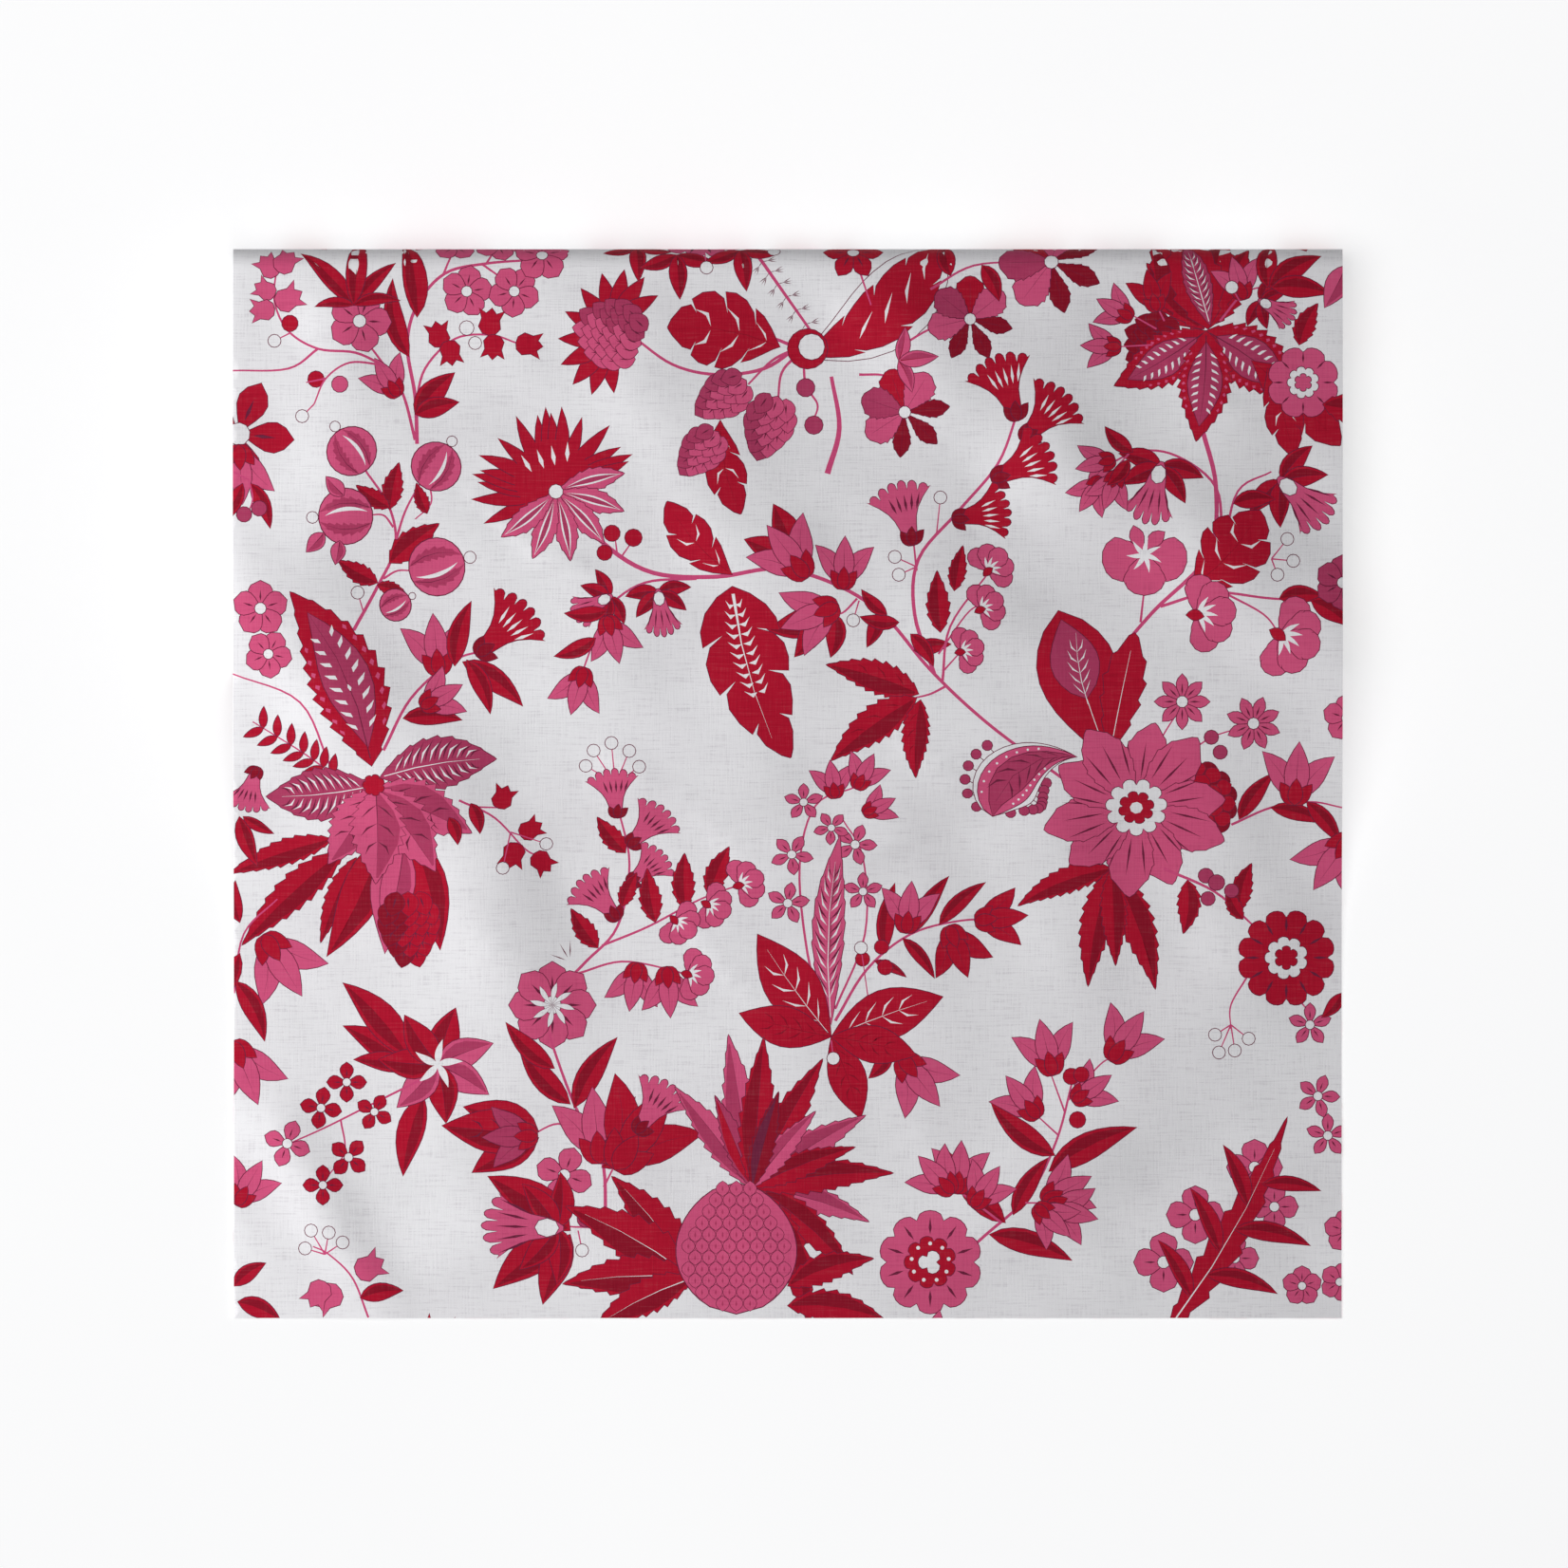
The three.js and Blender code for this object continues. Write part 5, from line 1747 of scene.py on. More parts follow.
@dataclass
class WoundTurns:
    """The turns of doubled cloth on the board, fourteen of them, with the fold on the left."""

    bolt: BoltSizes
    turns: int = 14
    ply: float = 0.2 * MM
    air: float = 0.05 * MM
    first: float = 0.9 * MM
    pitch: float = 0.6 * MM
    ragged: float = 1.5 * MM
    seed: int = 11

    def walk(self) -> tuple[Points, Points, Points]:
        """The course round the board from its near lower corner.

        Returns:
            The board's outline as y and z, the outward angle there, and how many turns have been made. Each turn
            is four straight sides, along which the outline moves, and four corners, round which only the angle
            moves.
        """
        near, far, low, high = self.bolt.near, self.bolt.far, self.bolt.low, self.bolt.high
        corners = np.array(((near, low), (far, low), (far, high), (near, high), (near, low)))
        out = math.radians(-90)
        places, angles = [], []
        for k, steps in enumerate((14, 3, 14, 3)):
            t = np.linspace(0.0, 1.0, steps, endpoint=False)[:, None]
            places.append(corners[k] + t * (corners[k + 1] - corners[k]))
            angles.append(np.full(steps, out + k * math.pi / 2))
            bend = np.linspace(0.0, math.pi / 2, 6, endpoint=False)
            places.append(np.tile(corners[k + 1], (6, 1)))
            angles.append(out + k * math.pi / 2 + bend)
        outline, angle = np.tile(np.vstack(places), (self.turns, 1)), np.tile(np.concatenate(angles), self.turns)
        return outline, angle, np.linspace(0.0, self.turns, len(angle))

    def uneven(self, turn: Points, seed: int) -> Points:
        """How far the cloth's edge lies in from the bolt's end, wandering from turn to turn, in metres."""
        draw = np.random.default_rng(seed)
        knots = draw.uniform(0.0, 1.0, 2 * self.turns + 2)
        knots[-5:] *= 0.3
        return self.ragged * np.interp(2 * turn, np.arange(len(knots)), knots)

    def length(self) -> float:
        """The length of cloth in the turns, in metres."""
        around = 2 * (self.bolt.far - self.bolt.near) + 2 * (self.bolt.high - self.bolt.low)
        middle = self.first + self.pitch * (self.turns - 1) / 2 + self.ply
        return self.turns * (around + 2 * math.pi * middle)

    def build(self) -> bpy.types.Object:
        """Carries a hairpin section along the course: out along one ply to the fold and back along the other.

        Returns:
            The piece. A point of the section stands in from the fold or the open edges, and off the board by
            first + pitch * turns made + its own height.
        """
        outline, angle, turn = self.walk()
        fold, upper, lower = (self.uneven(turn, self.seed + k) for k in range(3))
        left, right = -self.bolt.side + 0.4 * MM + fold, self.bolt.side - 0.4 * MM
        top, gap, low = 2 * self.ply + self.air, self.ply + self.air, self.ply
        shape = (
            (right - upper, top), (0 * right + left + 0.4 * MM, top), (left + 0.1 * MM, 0.85 * top),
            (left, 0.5 * top), (left + 0.1 * MM, 0.15 * top), (left + 0.4 * MM, 0.0), (right - lower, 0.0),
            (right - lower, low), (left + 0.5 * MM, low), (left + 0.42 * MM, 0.5 * top),
            (left + 0.5 * MM, gap), (right - upper, gap),
        )
        x = np.stack([across + 0 * turn for across, _ in shape], axis=1)
        rise = np.array([height for _, height in shape])
        off = (self.first + self.pitch * turn * (self.turns - 1) / self.turns)[:, None] + rise[None, :]
        y = outline[:, :1] + off * np.cos(angle)[:, None]
        z = outline[:, 1:] + off * np.sin(angle)[:, None]
        return solid("wound_turns", np.stack((x, y, z), axis=-1), closed=False, ends=True)


@dataclass
class EndFlap:
    """A card flap that closes one end of the board: rounded free corners, a thumb notch and a pressed crease."""

    name: str
    node: str
    body: str
    thumb: float = 9.0 * MM
    corner: float = 2.6 * MM
    crease: float = 0.35 * MM

    def outline(self, low: Vector, high: Vector) -> Points:
        """The flap's face seen from the bolt's end, as (y, z) from its crease edge round.

        Args:
            low: the flap's lowest corner.
            high: its highest corner.

        Returns:
            The outline: straight along the crease, a quarter circle at each free corner, and a shallow circular
            notch in the middle of the free edge.
        """
        turn = np.linspace(0.0, math.pi / 2, 7)
        r, middle = self.corner, (low.y + high.y) / 2
        right = np.column_stack((high.y - r + r * np.cos(turn), high.z - r + r * np.sin(turn)))
        left = np.column_stack((low.y + r - r * np.sin(turn), high.z - r + r * np.cos(turn)))
        sweep = np.linspace(0.0, math.pi, 15)
        notch = np.column_stack((middle + self.thumb * np.cos(sweep), high.z - 0.38 * self.thumb * np.sin(sweep)))
        crease = np.array(((low.y, low.z), (high.y, low.z)))
        return np.vstack((crease, right, notch, left))

    def build(self) -> bpy.types.Object:
        """Lofts the outline through the card's thickness, with its edges pressed round, and takes the node's place.

        Returns:
            The piece: four copies of the outline, the outer two drawn in towards the middle.
        """
        low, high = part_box(self.node)
        outline = self.outline(low, high)
        middle = np.array(((low.y + high.y) / 2, (low.z + high.z) / 2))
        drawn = outline + np.clip(middle - outline, -self.crease, self.crease)
        x = np.array((low.x, low.x + self.crease, high.x - self.crease, high.x))
        rows = [np.column_stack((np.full(len(outline), across), ring))
                for across, ring in zip(x, (drawn, outline, outline, drawn))]
        piece = solid(self.name, np.stack(rows), closed=False, ends=True)
        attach(piece, self.body)
        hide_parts(self.node)
        return piece


@dataclass
class EndLabel:
    """The paper label on the right-hand flap, with rounded corners and a slight lift at one of them."""

    bolt: BoltSizes
    corner: float = 1.6 * MM
    lift: float = 0.25 * MM

    def build(self) -> bpy.types.Object:
        """Makes the label as a thin slab on a grid.

        Returns:
            The piece: rings of a rounded rectangle shrinking to its middle line, front and back, with its far
            upper corner lifted by lift * t ** 2 off the card.
        """
        low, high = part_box("end_label")
        half = np.array(((high.y - low.y) / 2, (high.z - low.z) / 2))
        middle = np.array(((high.y + low.y) / 2, (high.z + low.z) / 2))
        turn = np.linspace(0.0, 2 * math.pi, 32, endpoint=False) + math.pi / 32
        quarter = np.column_stack((np.sign(np.cos(turn)), np.sign(np.sin(turn))))
        ring = quarter * (half - self.corner) + self.corner * np.column_stack((np.cos(turn), np.sin(turn)))
        rows = []
        for x, share in ((low.x, 0.35), (low.x, 1.0), (high.x, 1.0), (high.x, 0.93), (high.x, 0.35)):
            flat = ring * (1.0, share) if share < 0.5 else ring - quarter * (1 - share) * half[1]
            reach = np.clip((flat[:, 0] / half[0] + flat[:, 1] / half[1]) / 2, 0, 1)
            rows.append(np.column_stack((x + self.lift * reach**6, flat + middle)))
        piece = solid("end_label_paper", np.stack(rows), closed=False, ends=True)
        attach(piece, "right_flap")
        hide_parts("end_label")
        return piece


@dataclass
class Pin:
    """A dressmaker's pin: a steel shaft with a ground point, and a glass bead with a small neck."""

    number: int
    point: float = 4.5 * MM

    def turned(self, name: str, profile: Points, x: float, z: float) -> bpy.types.Object:
        """Turns a profile of (y, radius) about the pin's own line.

        Args:
            name: the piece's name.
            profile: the profile, from the pin's tail to its point.
            x: the line's place across the bolt.
            z: its height.

        Returns:
            The piece, with 20 points round.
        """
        angle = np.linspace(0.0, 2 * math.pi, 20, endpoint=False)
        y, radius = profile[:, :1], profile[:, 1:]
        points = np.stack((x + radius * np.cos(angle), y + 0 * angle, z + radius * np.sin(angle)), axis=-1)
        return solid(name, points, closed=False, ends=True, sharp=50)

    def build(self) -> list[bpy.types.Object]:
        """Makes the shaft and the bead.

        Returns:
            Both pieces. The point's radius falls as the square root of the share of its length left, and the
            bead is an ellipse with a short neck where it grips the shaft.
        """
        low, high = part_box(f"pin_{self.number}_shaft")
        x, z, radius = (low.x + high.x) / 2, (low.z + high.z) / 2, (high.x - low.x) / 2
        t = np.linspace(0.0, 1.0, 9)
        point = np.column_stack((high.y - self.point * (1 - t), radius * np.maximum(np.sqrt(1 - t**1.4), 0.05)))
        shaft = self.turned(f"pin_{self.number}_steel", np.vstack(((low.y, radius), point)), x, z)
        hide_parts(f"pin_{self.number}_shaft")
        near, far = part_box(f"pin_{self.number}_head")
        swing = np.linspace(0.0, math.pi, 19)[1:-1]
        ball, length = (far.x - near.x) / 2, far.y - near.y
        bead = np.column_stack((near.y + 0.92 * length * (1 - np.cos(swing)) / 2, 0.98 * ball * np.sin(swing) ** 0.92))
        bead = np.vstack((bead[bead[:, 0] < far.y - 0.14 * length], (far.y - 0.1 * length, 0.32 * ball),
                          (far.y - 0.03 * length, 0.30 * ball), (far.y, 0.24 * ball)))
        head = self.turned(f"pin_{self.number}_bead", bead, x, z)
        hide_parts(f"pin_{self.number}_head")
        for piece in (shaft, head):
            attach(piece, f"pin_{self.number}")
        return [shaft, head]


# ---------------------------------------------------------------------------------------------------------
# Finishes
# ---------------------------------------------------------------------------------------------------------


class Mix(Enum):
    """The ways one colour is laid over another."""

    BLEND = "MIX"
    DARKEN = "MULTIPLY"


class Recipe:
    """A material being made: its nodes and its shader."""

    def __init__(self, name: str, **sockets: float | Colour) -> None:
        """Starts the material and sets values on its shader's own sockets, with _ for a space in their names."""
        self.material = bpy.data.materials.new(name)
        self.material.use_nodes = True
        self.nodes, self.links = self.material.node_tree.nodes, self.material.node_tree.links
        self.shader = self.nodes["Principled BSDF"]
        for key, value in sockets.items():
            socket = self.shader.inputs[key.replace("_", " ")]
            socket.default_value = (*value, 1.0) if isinstance(value, tuple) else value

    def node(self, kind: str, sockets: dict[str | int, object] | None = None, **settings: object) -> bpy.types.Node:
        """Adds a node.

        Args:
            kind: the node's type, without ShaderNode.
            sockets: its inputs: a value, or another node's output to link.
            **settings: its own settings.

        Returns:
            The node.
        """
        made = self.nodes.new("ShaderNode" + kind)
        for key, value in settings.items():
            setattr(made, key, value)
        for key, value in (sockets or {}).items():
            if isinstance(value, bpy.types.NodeSocket):
                self.links.new(value, made.inputs[key])
            else:
                made.inputs[key].default_value = value
        return made

    def cloth_place(self) -> bpy.types.NodeSocket:
        """The place on the cloth, in metres from the fold and along it."""
        return self.node("UVMap", uv_map="Cloth").outputs[0]

    def object_place(self) -> bpy.types.NodeSocket:
        """The place on the object, in metres."""
        return self.node("TexCoord").outputs["Object"]

    def noise(self, place: bpy.types.NodeSocket, scale: tuple[float, float, float], detail: float = 3.0,
              rough: float = 0.5) -> bpy.types.NodeSocket:
        """Cloudy noise.

        Args:
            place: the coordinates.
            scale: cells per metre along each axis.
            detail: octaves.
            rough: the strength of each octave against the one before.

        Returns:
            Its value, about 0.5.
        """
        spread = self.node("Mapping", {"Vector": place, "Scale": scale})
        return self.node("TexNoise", {"Vector": spread.outputs[0], "Scale": 1.0, "Detail": detail,
                                      "Roughness": rough}).outputs[0]

    def ramp(self, value: bpy.types.NodeSocket, low: float, high: float, start: float, end: float
             ) -> bpy.types.NodeSocket:
        """The value carried from low..high to start..end, held at both ends."""
        return self.node("MapRange", {"Value": value, "From Min": low, "From Max": high, "To Min": start,
                                      "To Max": end}).outputs[0]

    def maths(self, how: str, one: bpy.types.NodeSocket | float, two: bpy.types.NodeSocket | float = 0.0
              ) -> bpy.types.NodeSocket:
        """One sum of two values."""
        return self.node("Math", {0: one, 1: two}, operation=how).outputs[0]

    def lay(self, under: bpy.types.NodeSocket | Colour, over: bpy.types.NodeSocket | Colour,
            share: bpy.types.NodeSocket | float, how: Mix = Mix.BLEND) -> bpy.types.NodeSocket:
        """Lays one colour over another.

        Args:
            under: the colour beneath.
            over: the colour laid on it.
            share: how much of it, 0 to 1.
            how: the way it is laid.

        Returns:
            The mixed colour.
        """
        mix = self.node("Mix", {"Factor": share}, data_type="RGBA", blend_type=how.value)
        for socket, value in ((mix.inputs[6], under), (mix.inputs[7], over)):
            if isinstance(value, bpy.types.NodeSocket):
                self.links.new(value, socket)
            else:
                socket.default_value = (*value, 1.0)
        return mix.outputs[2]

    def finish(self, colour: bpy.types.NodeSocket, height: bpy.types.NodeSocket, depth: float,
               rough: bpy.types.NodeSocket | None = None) -> bpy.types.Material:
        """Links the colour, the bump and the roughness to the shader.

        Args:
            colour: the base colour.
            height: the bump's height, 0 to 1.
            depth: the bump's full depth in metres.
            rough: the roughness, or None to keep the shader's own.

        Returns:
            The finished material.
        """
        self.links.new(colour, self.shader.inputs["Base Color"])
        bump = self.node("Bump", {"Height": height, "Distance": depth, "Strength": 1.0})
        self.links.new(bump.outputs[0], self.shader.inputs["Normal"])
        if rough is not None:
            self.links.new(rough, self.shader.inputs["Roughness"])
        return self.material


@dataclass(frozen=True)
class Calico:
    """Printed plain-weave cotton: threads both ways, thicker slubs across, and ink that has sunk in unevenly."""

    name: str = "printed calico"
    slub: tuple[float, float, float] = (55.0, 1300.0, 1.0)
    warp: tuple[float, float, float] = (1250.0, 70.0, 1.0)
    depth: float = 0.10 * MM
    printed: bool = True

    def material(self) -> bpy.types.Material:
        """The cloth's material: its colours come from the attribute ink, its threads from the map Cloth, with painted
        shade in the weave's hollows and a faint painted highlight on its raised threads.
        """
        make = Recipe(self.name, Roughness=0.86, Specular_IOR_Level=0.14, Sheen_Weight=0.05, Sheen_Roughness=0.45)
        place = make.cloth_place()
        weft = make.noise(place, self.slub, 3.0, 0.62)
        warp = make.noise(place, self.warp, 2.0, 0.55)
        cloud = make.noise(place, (16.0, 16.0, 1.0), 3.0)
        if self.printed:
            base = make.node("Attribute", attribute_name="ink").outputs["Color"]
        else:
            base = make.node("RGB").outputs[0]
            base.default_value = (*PALETTE[GROUND], 1.0)
        threads = make.maths("ADD", make.ramp(weft, 0.28, 0.72, 0.0, 0.66), make.ramp(warp, 0.28, 0.72, 0.0, 0.34))
        # A faint painted highlight: where the weave's bump is high, the raised threads are lightened a little.
        tint = make.lay(base, (0.80, 0.79, 0.81), make.ramp(threads, 0.56, 0.9, 0.0, 0.022))
        # Painted shade: where the weave's bump is low, the colour is darkened in the hollows between threads.
        tint = make.lay(tint, (0.66, 0.63, 0.66), make.ramp(threads, 0.46, 0.14, 0.0, 0.55), Mix.DARKEN)
        tint = make.lay(tint, (0.90, 0.885, 0.895), make.ramp(cloud, 0.35, 0.7, 0.0, 0.5), Mix.DARKEN)
        rough = make.ramp(threads, 0.2, 0.8, 0.93, 0.80)
        return make.finish(tint, threads, self.depth, rough)


@dataclass(frozen=True)
class GreyBoard:
    """Recycled card: a fibrous warm grey with darker flecks and a faint grain along the sheet."""

    name: str = "grey board"
    colour: Colour = (0.36, 0.315, 0.25)
    fleck: Colour = (0.13, 0.11, 0.085)
    grain: tuple[float, float, float] = (260.0, 900.0, 900.0)
    depth: float = 0.06 * MM

    def material(self) -> bpy.types.Material:
        """The card's material, on object coordinates."""
        make = Recipe(self.name, Roughness=0.88, Specular_IOR_Level=0.3)
        place = make.object_place()
        fibre = make.noise(place, self.grain, 4.0, 0.6)
        flecks = make.noise(place, (1900.0, 700.0, 1900.0), 2.0)
        cloud = make.noise(place, (30.0, 30.0, 30.0), 2.0)
        tint = make.lay(self.colour, (0.47, 0.42, 0.345), make.ramp(fibre, 0.35, 0.7, 0.0, 0.8))
        tint = make.lay(tint, self.fleck, make.ramp(flecks, 0.66, 0.78, 0.0, 0.75))
        tint = make.lay(tint, (0.74, 0.71, 0.68), make.ramp(cloud, 0.4, 0.75, 0.0, 0.5), Mix.DARKEN)
        return make.finish(tint, fibre, self.depth, make.ramp(fibre, 0.3, 0.7, 0.95, 0.8))


@dataclass(frozen=True)
class GummedPaper:
    """Paper tape: smooth kraft paper with faint laid lines across it."""

    name: str = "gummed paper"
    colour: Colour = (0.55, 0.41, 0.25)
    lines: float = 900.0

    def material(self) -> bpy.types.Material:
        """The tape's material, on object coordinates."""
        make = Recipe(self.name, Roughness=0.6, Specular_IOR_Level=0.4)
        place = make.object_place()
        fibre = make.noise(place, (300.0, 1500.0, 300.0), 3.0, 0.6)
        wave = make.node("TexWave", {"Vector": place, "Scale": self.lines, "Distortion": 1.5}).outputs["Fac"]
        tint = make.lay(self.colour, (0.68, 0.53, 0.35), make.ramp(fibre, 0.3, 0.7, 0.0, 0.7))
        tint = make.lay(tint, (0.85, 0.83, 0.8), make.ramp(wave, 0.2, 0.8, 0.0, 0.25), Mix.DARKEN)
        return make.finish(tint, make.maths("ADD", fibre, wave), 0.02 * MM)


@dataclass(frozen=True)
class LabelPaper:
    """The end label's coated paper: a crimson band at each end and ruled lines between, with nothing written."""

    middle: float
    base: float
    half: float
    name: str = "label paper"
    paper: Colour = (0.80, 0.78, 0.72)
    band: Colour = (0.42, 0.02, 0.05)
    rule: Colour = (0.22, 0.20, 0.20)

    def material(self) -> bpy.types.Material:
        """The label's material: bands and rules by the distance from its middle and from its lower edge."""
        make = Recipe(self.name, Roughness=0.42, Specular_IOR_Level=0.45, Coat_Weight=0.15, Coat_Roughness=0.3)
        place = make.object_place()
        split = make.node("SeparateXYZ", {0: place})
        along = make.maths("ABSOLUTE", make.maths("SUBTRACT", split.outputs["Y"], self.middle))
        up = make.maths("SUBTRACT", split.outputs["Z"], self.base)
        band = make.maths("GREATER_THAN", along, 0.82 * self.half)
        line = make.maths("PINGPONG", up, 1.05 * MM)
        ruled = make.maths("MULTIPLY", make.maths("LESS_THAN", line, 0.09 * MM),
                           make.maths("LESS_THAN", along, 0.72 * self.half))
        inside = make.maths("MULTIPLY", make.maths("GREATER_THAN", up, 1.2 * MM),
                            make.maths("LESS_THAN", up, 7.8 * MM))
        fibre = make.noise(place, (400.0, 400.0, 400.0), 4.0, 0.6)
        tint = make.lay(self.paper, (0.68, 0.64, 0.56), make.ramp(fibre, 0.4, 0.75, 0.0, 0.6))
        tint = make.lay(tint, self.rule, make.maths("MULTIPLY", ruled, inside))
        tint = make.lay(tint, self.band, band)
        return make.finish(tint, fibre, 0.015 * MM)


@dataclass(frozen=True)
class PinSteel:
    """Nickel-plated steel with fine marks along it."""

    name: str = "pin steel"
    colour: Colour = (0.62, 0.61, 0.58)

    def material(self) -> bpy.types.Material:
        """The shaft's material, on object coordinates."""
        make = Recipe(self.name, Metallic=1.0, Roughness=0.25)
        marks = make.noise(make.object_place(), (9000.0, 250.0, 9000.0), 3.0)
        tint = make.lay(self.colour, (0.45, 0.44, 0.42), make.ramp(marks, 0.4, 0.7, 0.0, 0.6))
        return make.finish(tint, marks, 0.01 * MM, make.ramp(marks, 0.3, 0.7, 0.2, 0.4))


@dataclass(frozen=True)
class BeadGlass:
    """Opaque red glass with a clear gloss and faint swirls."""

    name: str = "bead glass"
    colour: Colour = (0.44, 0.01, 0.03)

    def material(self) -> bpy.types.Material:
        """The bead's material, on object coordinates."""
        make = Recipe(self.name, Roughness=0.14, Specular_IOR_Level=0.55, Coat_Weight=0.7, Coat_Roughness=0.04)
        swirl = make.noise(make.object_place(), (500.0, 900.0, 500.0), 2.0)
        tint = make.lay(self.colour, (0.60, 0.03, 0.07), make.ramp(swirl, 0.4, 0.7, 0.0, 0.8))
        return make.finish(tint, swirl, 0.02 * MM)


@dataclass(frozen=True)
class StudioFloor:
    """A matt near-white floor."""

    name: str = "studio floor"
    glow: float = 0.46

    def material(self) -> bpy.types.Material:
        """The floor's material, lifted a little so that it reads white under soft light."""
        make = Recipe(self.name, Roughness=0.95, Specular_IOR_Level=0.0, Emission_Color=(1.0, 1.0, 1.0),
                      Emission_Strength=self.glow)
        cloud = make.noise(make.object_place(), (3.0, 3.0, 3.0), 2.0)
        tint = make.lay((0.90, 0.90, 0.90), (0.88, 0.88, 0.885), make.ramp(cloud, 0.3, 0.7, 0.0, 1.0))
        return make.finish(tint, cloud, 0.01 * MM)


# ---------------------------------------------------------------------------------------------------------
# The stage
# ---------------------------------------------------------------------------------------------------------


@dataclass
class Studio:
    """The floor, the soft lights and the camera straight above the cloth."""

    bolt: BoltSizes
    frame_width: float = 0.7928
    aside: float = -1.9 * MM
    height: float = 16.0
    overhead: float = 37.0
    key: float = 68.0
    fill: float = 0.17
    backdrop: float = 0.92
    floor_half: float = 60.0
    reach: float = 2.2
    tilt: float = 21.0

    def camera(self) -> None:
        """Sets a long lens above the middle of the laid cloth, so that its width is the photographed share."""
        lens = bpy.data.cameras.new("camera")
        lens.sensor_width = 36.0
        lens.lens = lens.sensor_width * self.height / self.frame_width
        lens.clip_end = 60.0
        camera = bpy.data.objects.new("camera", lens)
        camera.location = (self.aside, (self.bolt.far + self.bolt.build + self.bolt.cut) / 2, self.height)
        bpy.context.scene.collection.objects.link(camera)
        bpy.context.scene.camera = camera

    def light(self, name: str, place: Vector, aim: Vector, size: float, power: float) -> bpy.types.Object:
        """Adds a square soft light.

        Args:
            name: its name.
            place: where it stands.
            aim: what it points at.
            size: its side.
            power: its power in watts.

        Returns:
            The light.
        """
        lamp = bpy.data.lights.new(name, "AREA")
        lamp.size, lamp.energy = size, power
        light = bpy.data.objects.new(name, lamp)
        light.location = place
        light.rotation_euler = (aim - place).to_track_quat("-Z", "Y").to_euler()
        bpy.context.scene.collection.objects.link(light)
        return light

    def build(self, pieces: list[bpy.types.Object]) -> None:
        """Makes the floor, the lights, the pale surround and the camera.

        Args:
            pieces: what the low side light falls on. It leaves the floor white.
        """
        half = self.floor_half
        mesh = bpy.data.meshes.new("floor")
        mesh.from_pydata([(-half, -half, 0), (half, -half, 0), (half, half, 0), (-half, half, 0)], [], [(0, 1, 2, 3)])
        mesh.materials.append(StudioFloor().material())
        floor = bpy.data.objects.new("floor", mesh)
        bpy.context.scene.collection.objects.link(floor)
        self.light("overhead", Vector((-0.3, 0.2, 2.6)), Vector((0, 0, 0)), 2.6, self.overhead)
        tilt = math.radians(self.tilt)
        place = Vector((-self.reach * math.cos(tilt), -0.25, self.reach * math.sin(tilt)))
        key = self.light("side", place, Vector((0, 0, 0)), 0.9, self.key)
        lit = bpy.data.collections.new("lit by the side light")
        for piece in pieces:
            lit.objects.link(piece)
        key.light_linking.receiver_collection = lit
        world = bpy.data.worlds.new("surround")
        world.use_nodes = True
        tree = world.node_tree
        background = tree.nodes["Background"]
        background.inputs["Color"].default_value = (0.96, 0.97, 1.0, 1.0)
        seen = tree.nodes.new("ShaderNodeLightPath").outputs["Is Camera Ray"]
        level = tree.nodes.new("ShaderNodeMapRange")
        level.inputs["To Min"].default_value, level.inputs["To Max"].default_value = self.fill, self.backdrop
        tree.links.new(seen, level.inputs["Value"])
        tree.links.new(level.outputs["Result"], background.inputs["Strength"])
        scene = bpy.context.scene
        scene.world = world
        scene.view_settings.view_transform = "Standard"


# ---------------------------------------------------------------------------------------------------------
# The bolt
# ---------------------------------------------------------------------------------------------------------


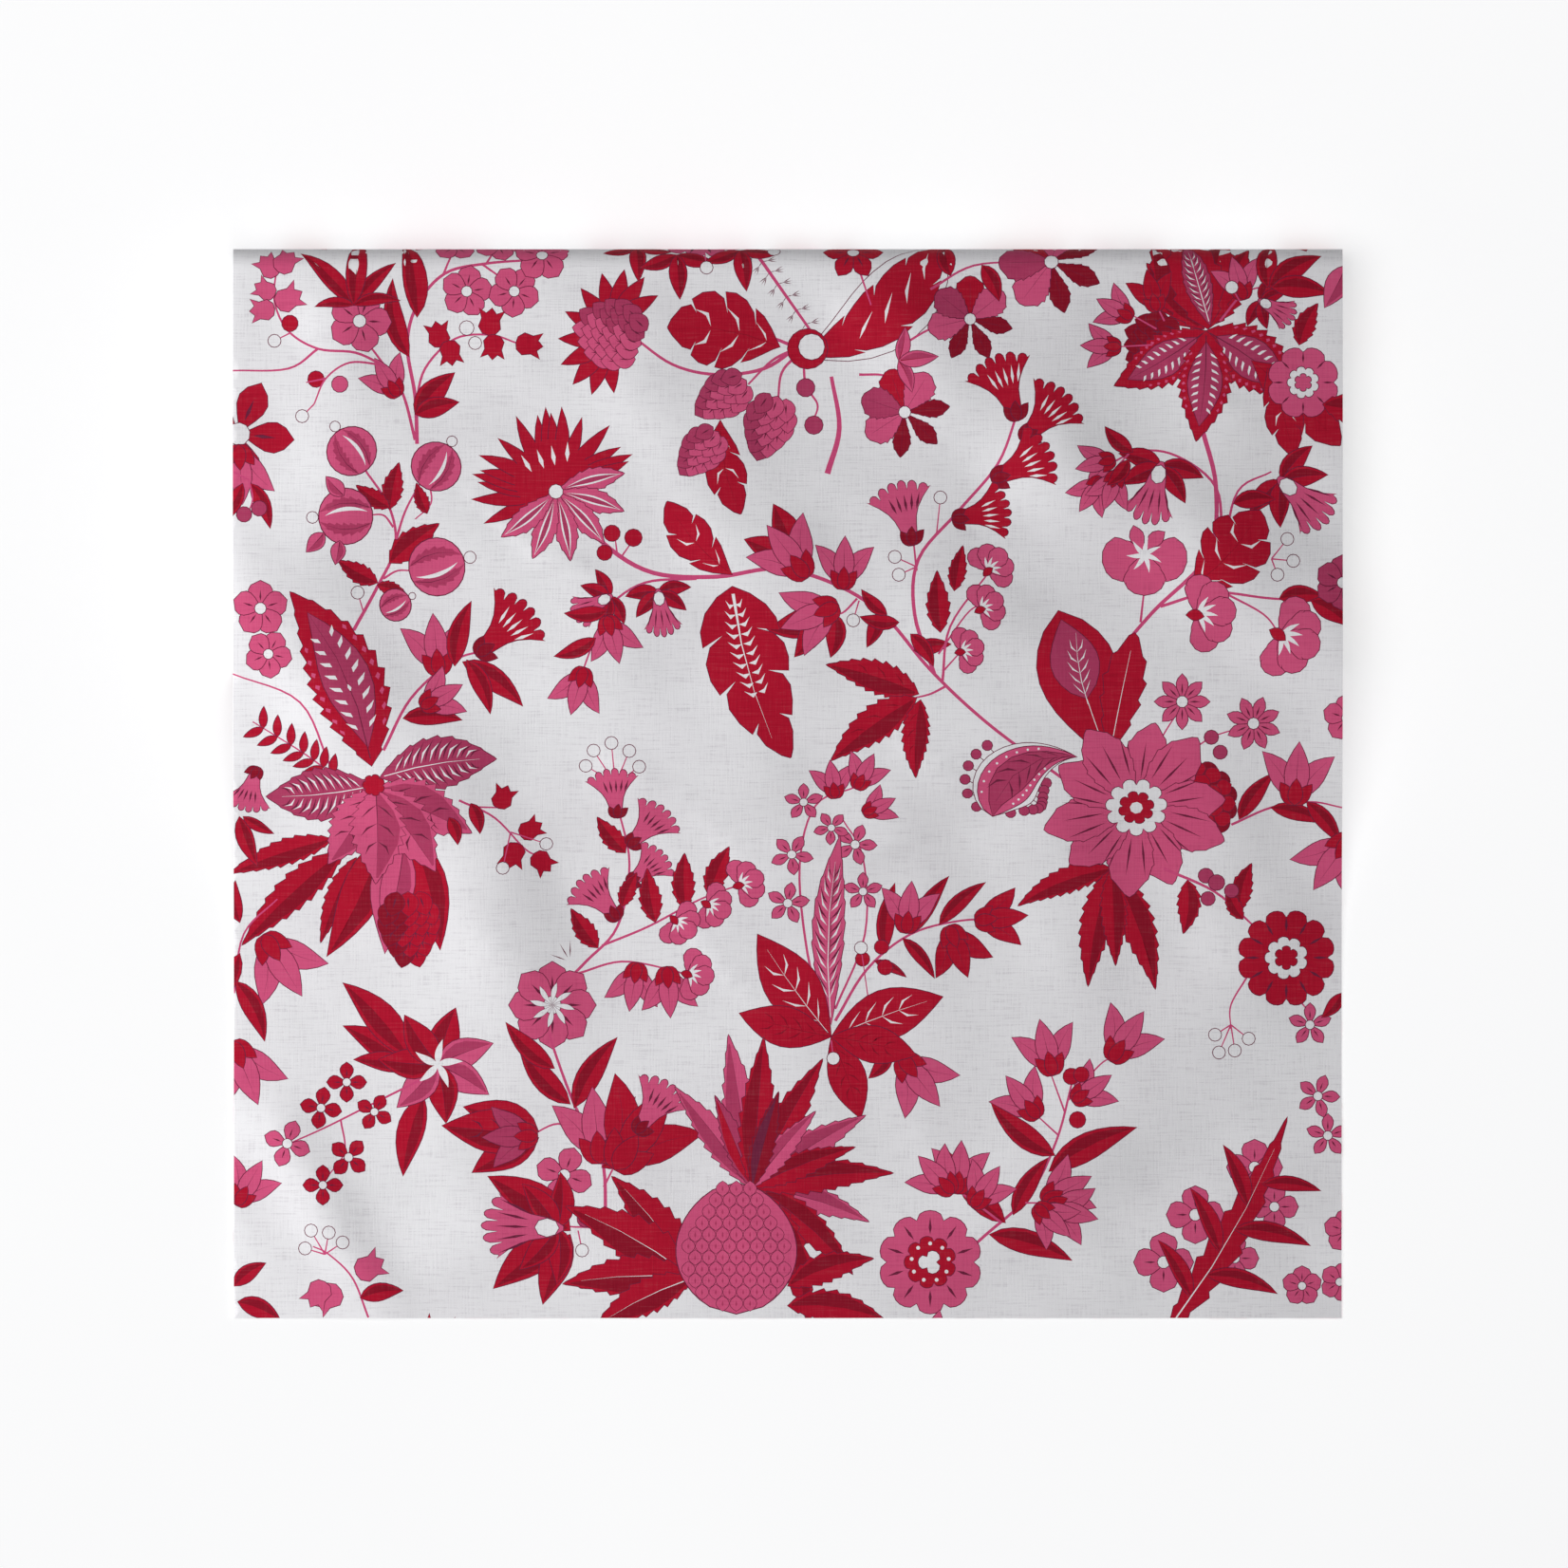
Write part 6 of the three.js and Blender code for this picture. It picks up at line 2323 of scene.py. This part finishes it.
@dataclass
class Cloth:
    """All of the cloth: the outer ply and its end, the ply under them, the rest of the last turn, and the turns."""

    bolt: BoltSizes
    under_bolt: float = -0.045
    fold_over: float = 0.028

    def build(self) -> list[bpy.types.Object]:
        """Returns:
            The pieces.
        """
        course = Course.over(self.bolt)
        begin, cut = float(course.s[0]), float(course.s[-1])
        crease = cut - (self.bolt.crease - self.bolt.cut)
        drape = Drape(crease, cut)
        art = FloralPrint().draw_all().shapes
        calico = Calico().material()
        wide = 2 * self.bolt.side
        reverse = [shape for shape in shifted(art, 12.0, 100 * wide) if shape[0][:, 1].max() > 100 * crease - 3.0]
        plies = (
            Ply("outer_ply", self.bolt, course, drape, self.under_bolt, crease, shapes=shifted(art, -REPEAT) + art),
            Ply("outer_end", self.bolt, course, drape, crease, cut, shapes=art),
            Ply("under_ply", self.bolt, course, drape, begin, cut, outward=False, slack=0.6, cell=1.0, shapes=reverse),
            Ply("wrapped_ply", self.bolt, course, drape, begin, self.under_bolt, slack=0.0, cell=1.1,
                shapes=shifted(art, -REPEAT)),
        )
        made = [ply.build() for ply in plies]
        outer, end, under, wrapped = made
        for piece in made:
            piece.data.materials.append(calico)
        for piece in (end, under):
            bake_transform(piece)
        for piece in (outer, wrapped):
            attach(piece, "bolt")
        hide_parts("loose_end")
        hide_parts("turned_end")
        turns = WoundTurns(self.bolt)
        wound = turns.build()
        wound.data.materials.append(Calico("wound calico", printed=False).material())
        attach(wound, "bolt")
        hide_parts("wound_cloth")
        return [*made, wound]


def dress(node: bpy.types.Object, material: bpy.types.Material) -> None:
    """Gives one of the frame's own pieces a finish."""
    node.data.materials.clear()
    node.data.materials.append(material)


def main() -> None:
    """Builds the bolt round its frame, then the stage."""
    logging.basicConfig(level=logging.INFO, format="%(message)s")
    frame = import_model()
    bolt = BoltSizes.read()
    board = GreyBoard().material()
    pieces = Cloth(bolt).build()
    for name, node, body in (("left_flap_card", "left_end_flap", "left_flap"),
                             ("right_flap_card", "right_end_flap", "right_flap")):
        flap = EndFlap(name, node, body).build()
        flap.data.materials.append(board)
        pieces.append(flap)
    low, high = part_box("end_label")
    label = EndLabel(bolt).build()
    label.data.materials.append(LabelPaper((low.y + high.y) / 2, low.z, (high.y - low.y) / 2).material())
    pieces.append(label)
    steel, glass = PinSteel().material(), BeadGlass().material()
    for number in (1, 2):
        shaft, bead = Pin(number).build()
        shaft.data.materials.append(steel)
        bead.data.materials.append(glass)
        pieces += [shaft, bead]
    nodes = frame["nodes"]
    dress(nodes["board_shell"], board)
    dress(nodes["board_stiffener"], GreyBoard("fluting", (0.42, 0.33, 0.22), grain=(200.0, 900.0, 200.0)).material())
    dress(nodes["start_tape"], GummedPaper().material())
    pieces += [nodes["board_shell"], nodes["board_stiffener"], nodes["start_tape"]]
    Studio(bolt).camera()
    Studio(bolt).build(pieces)


if __name__ == "__main__":
    main()
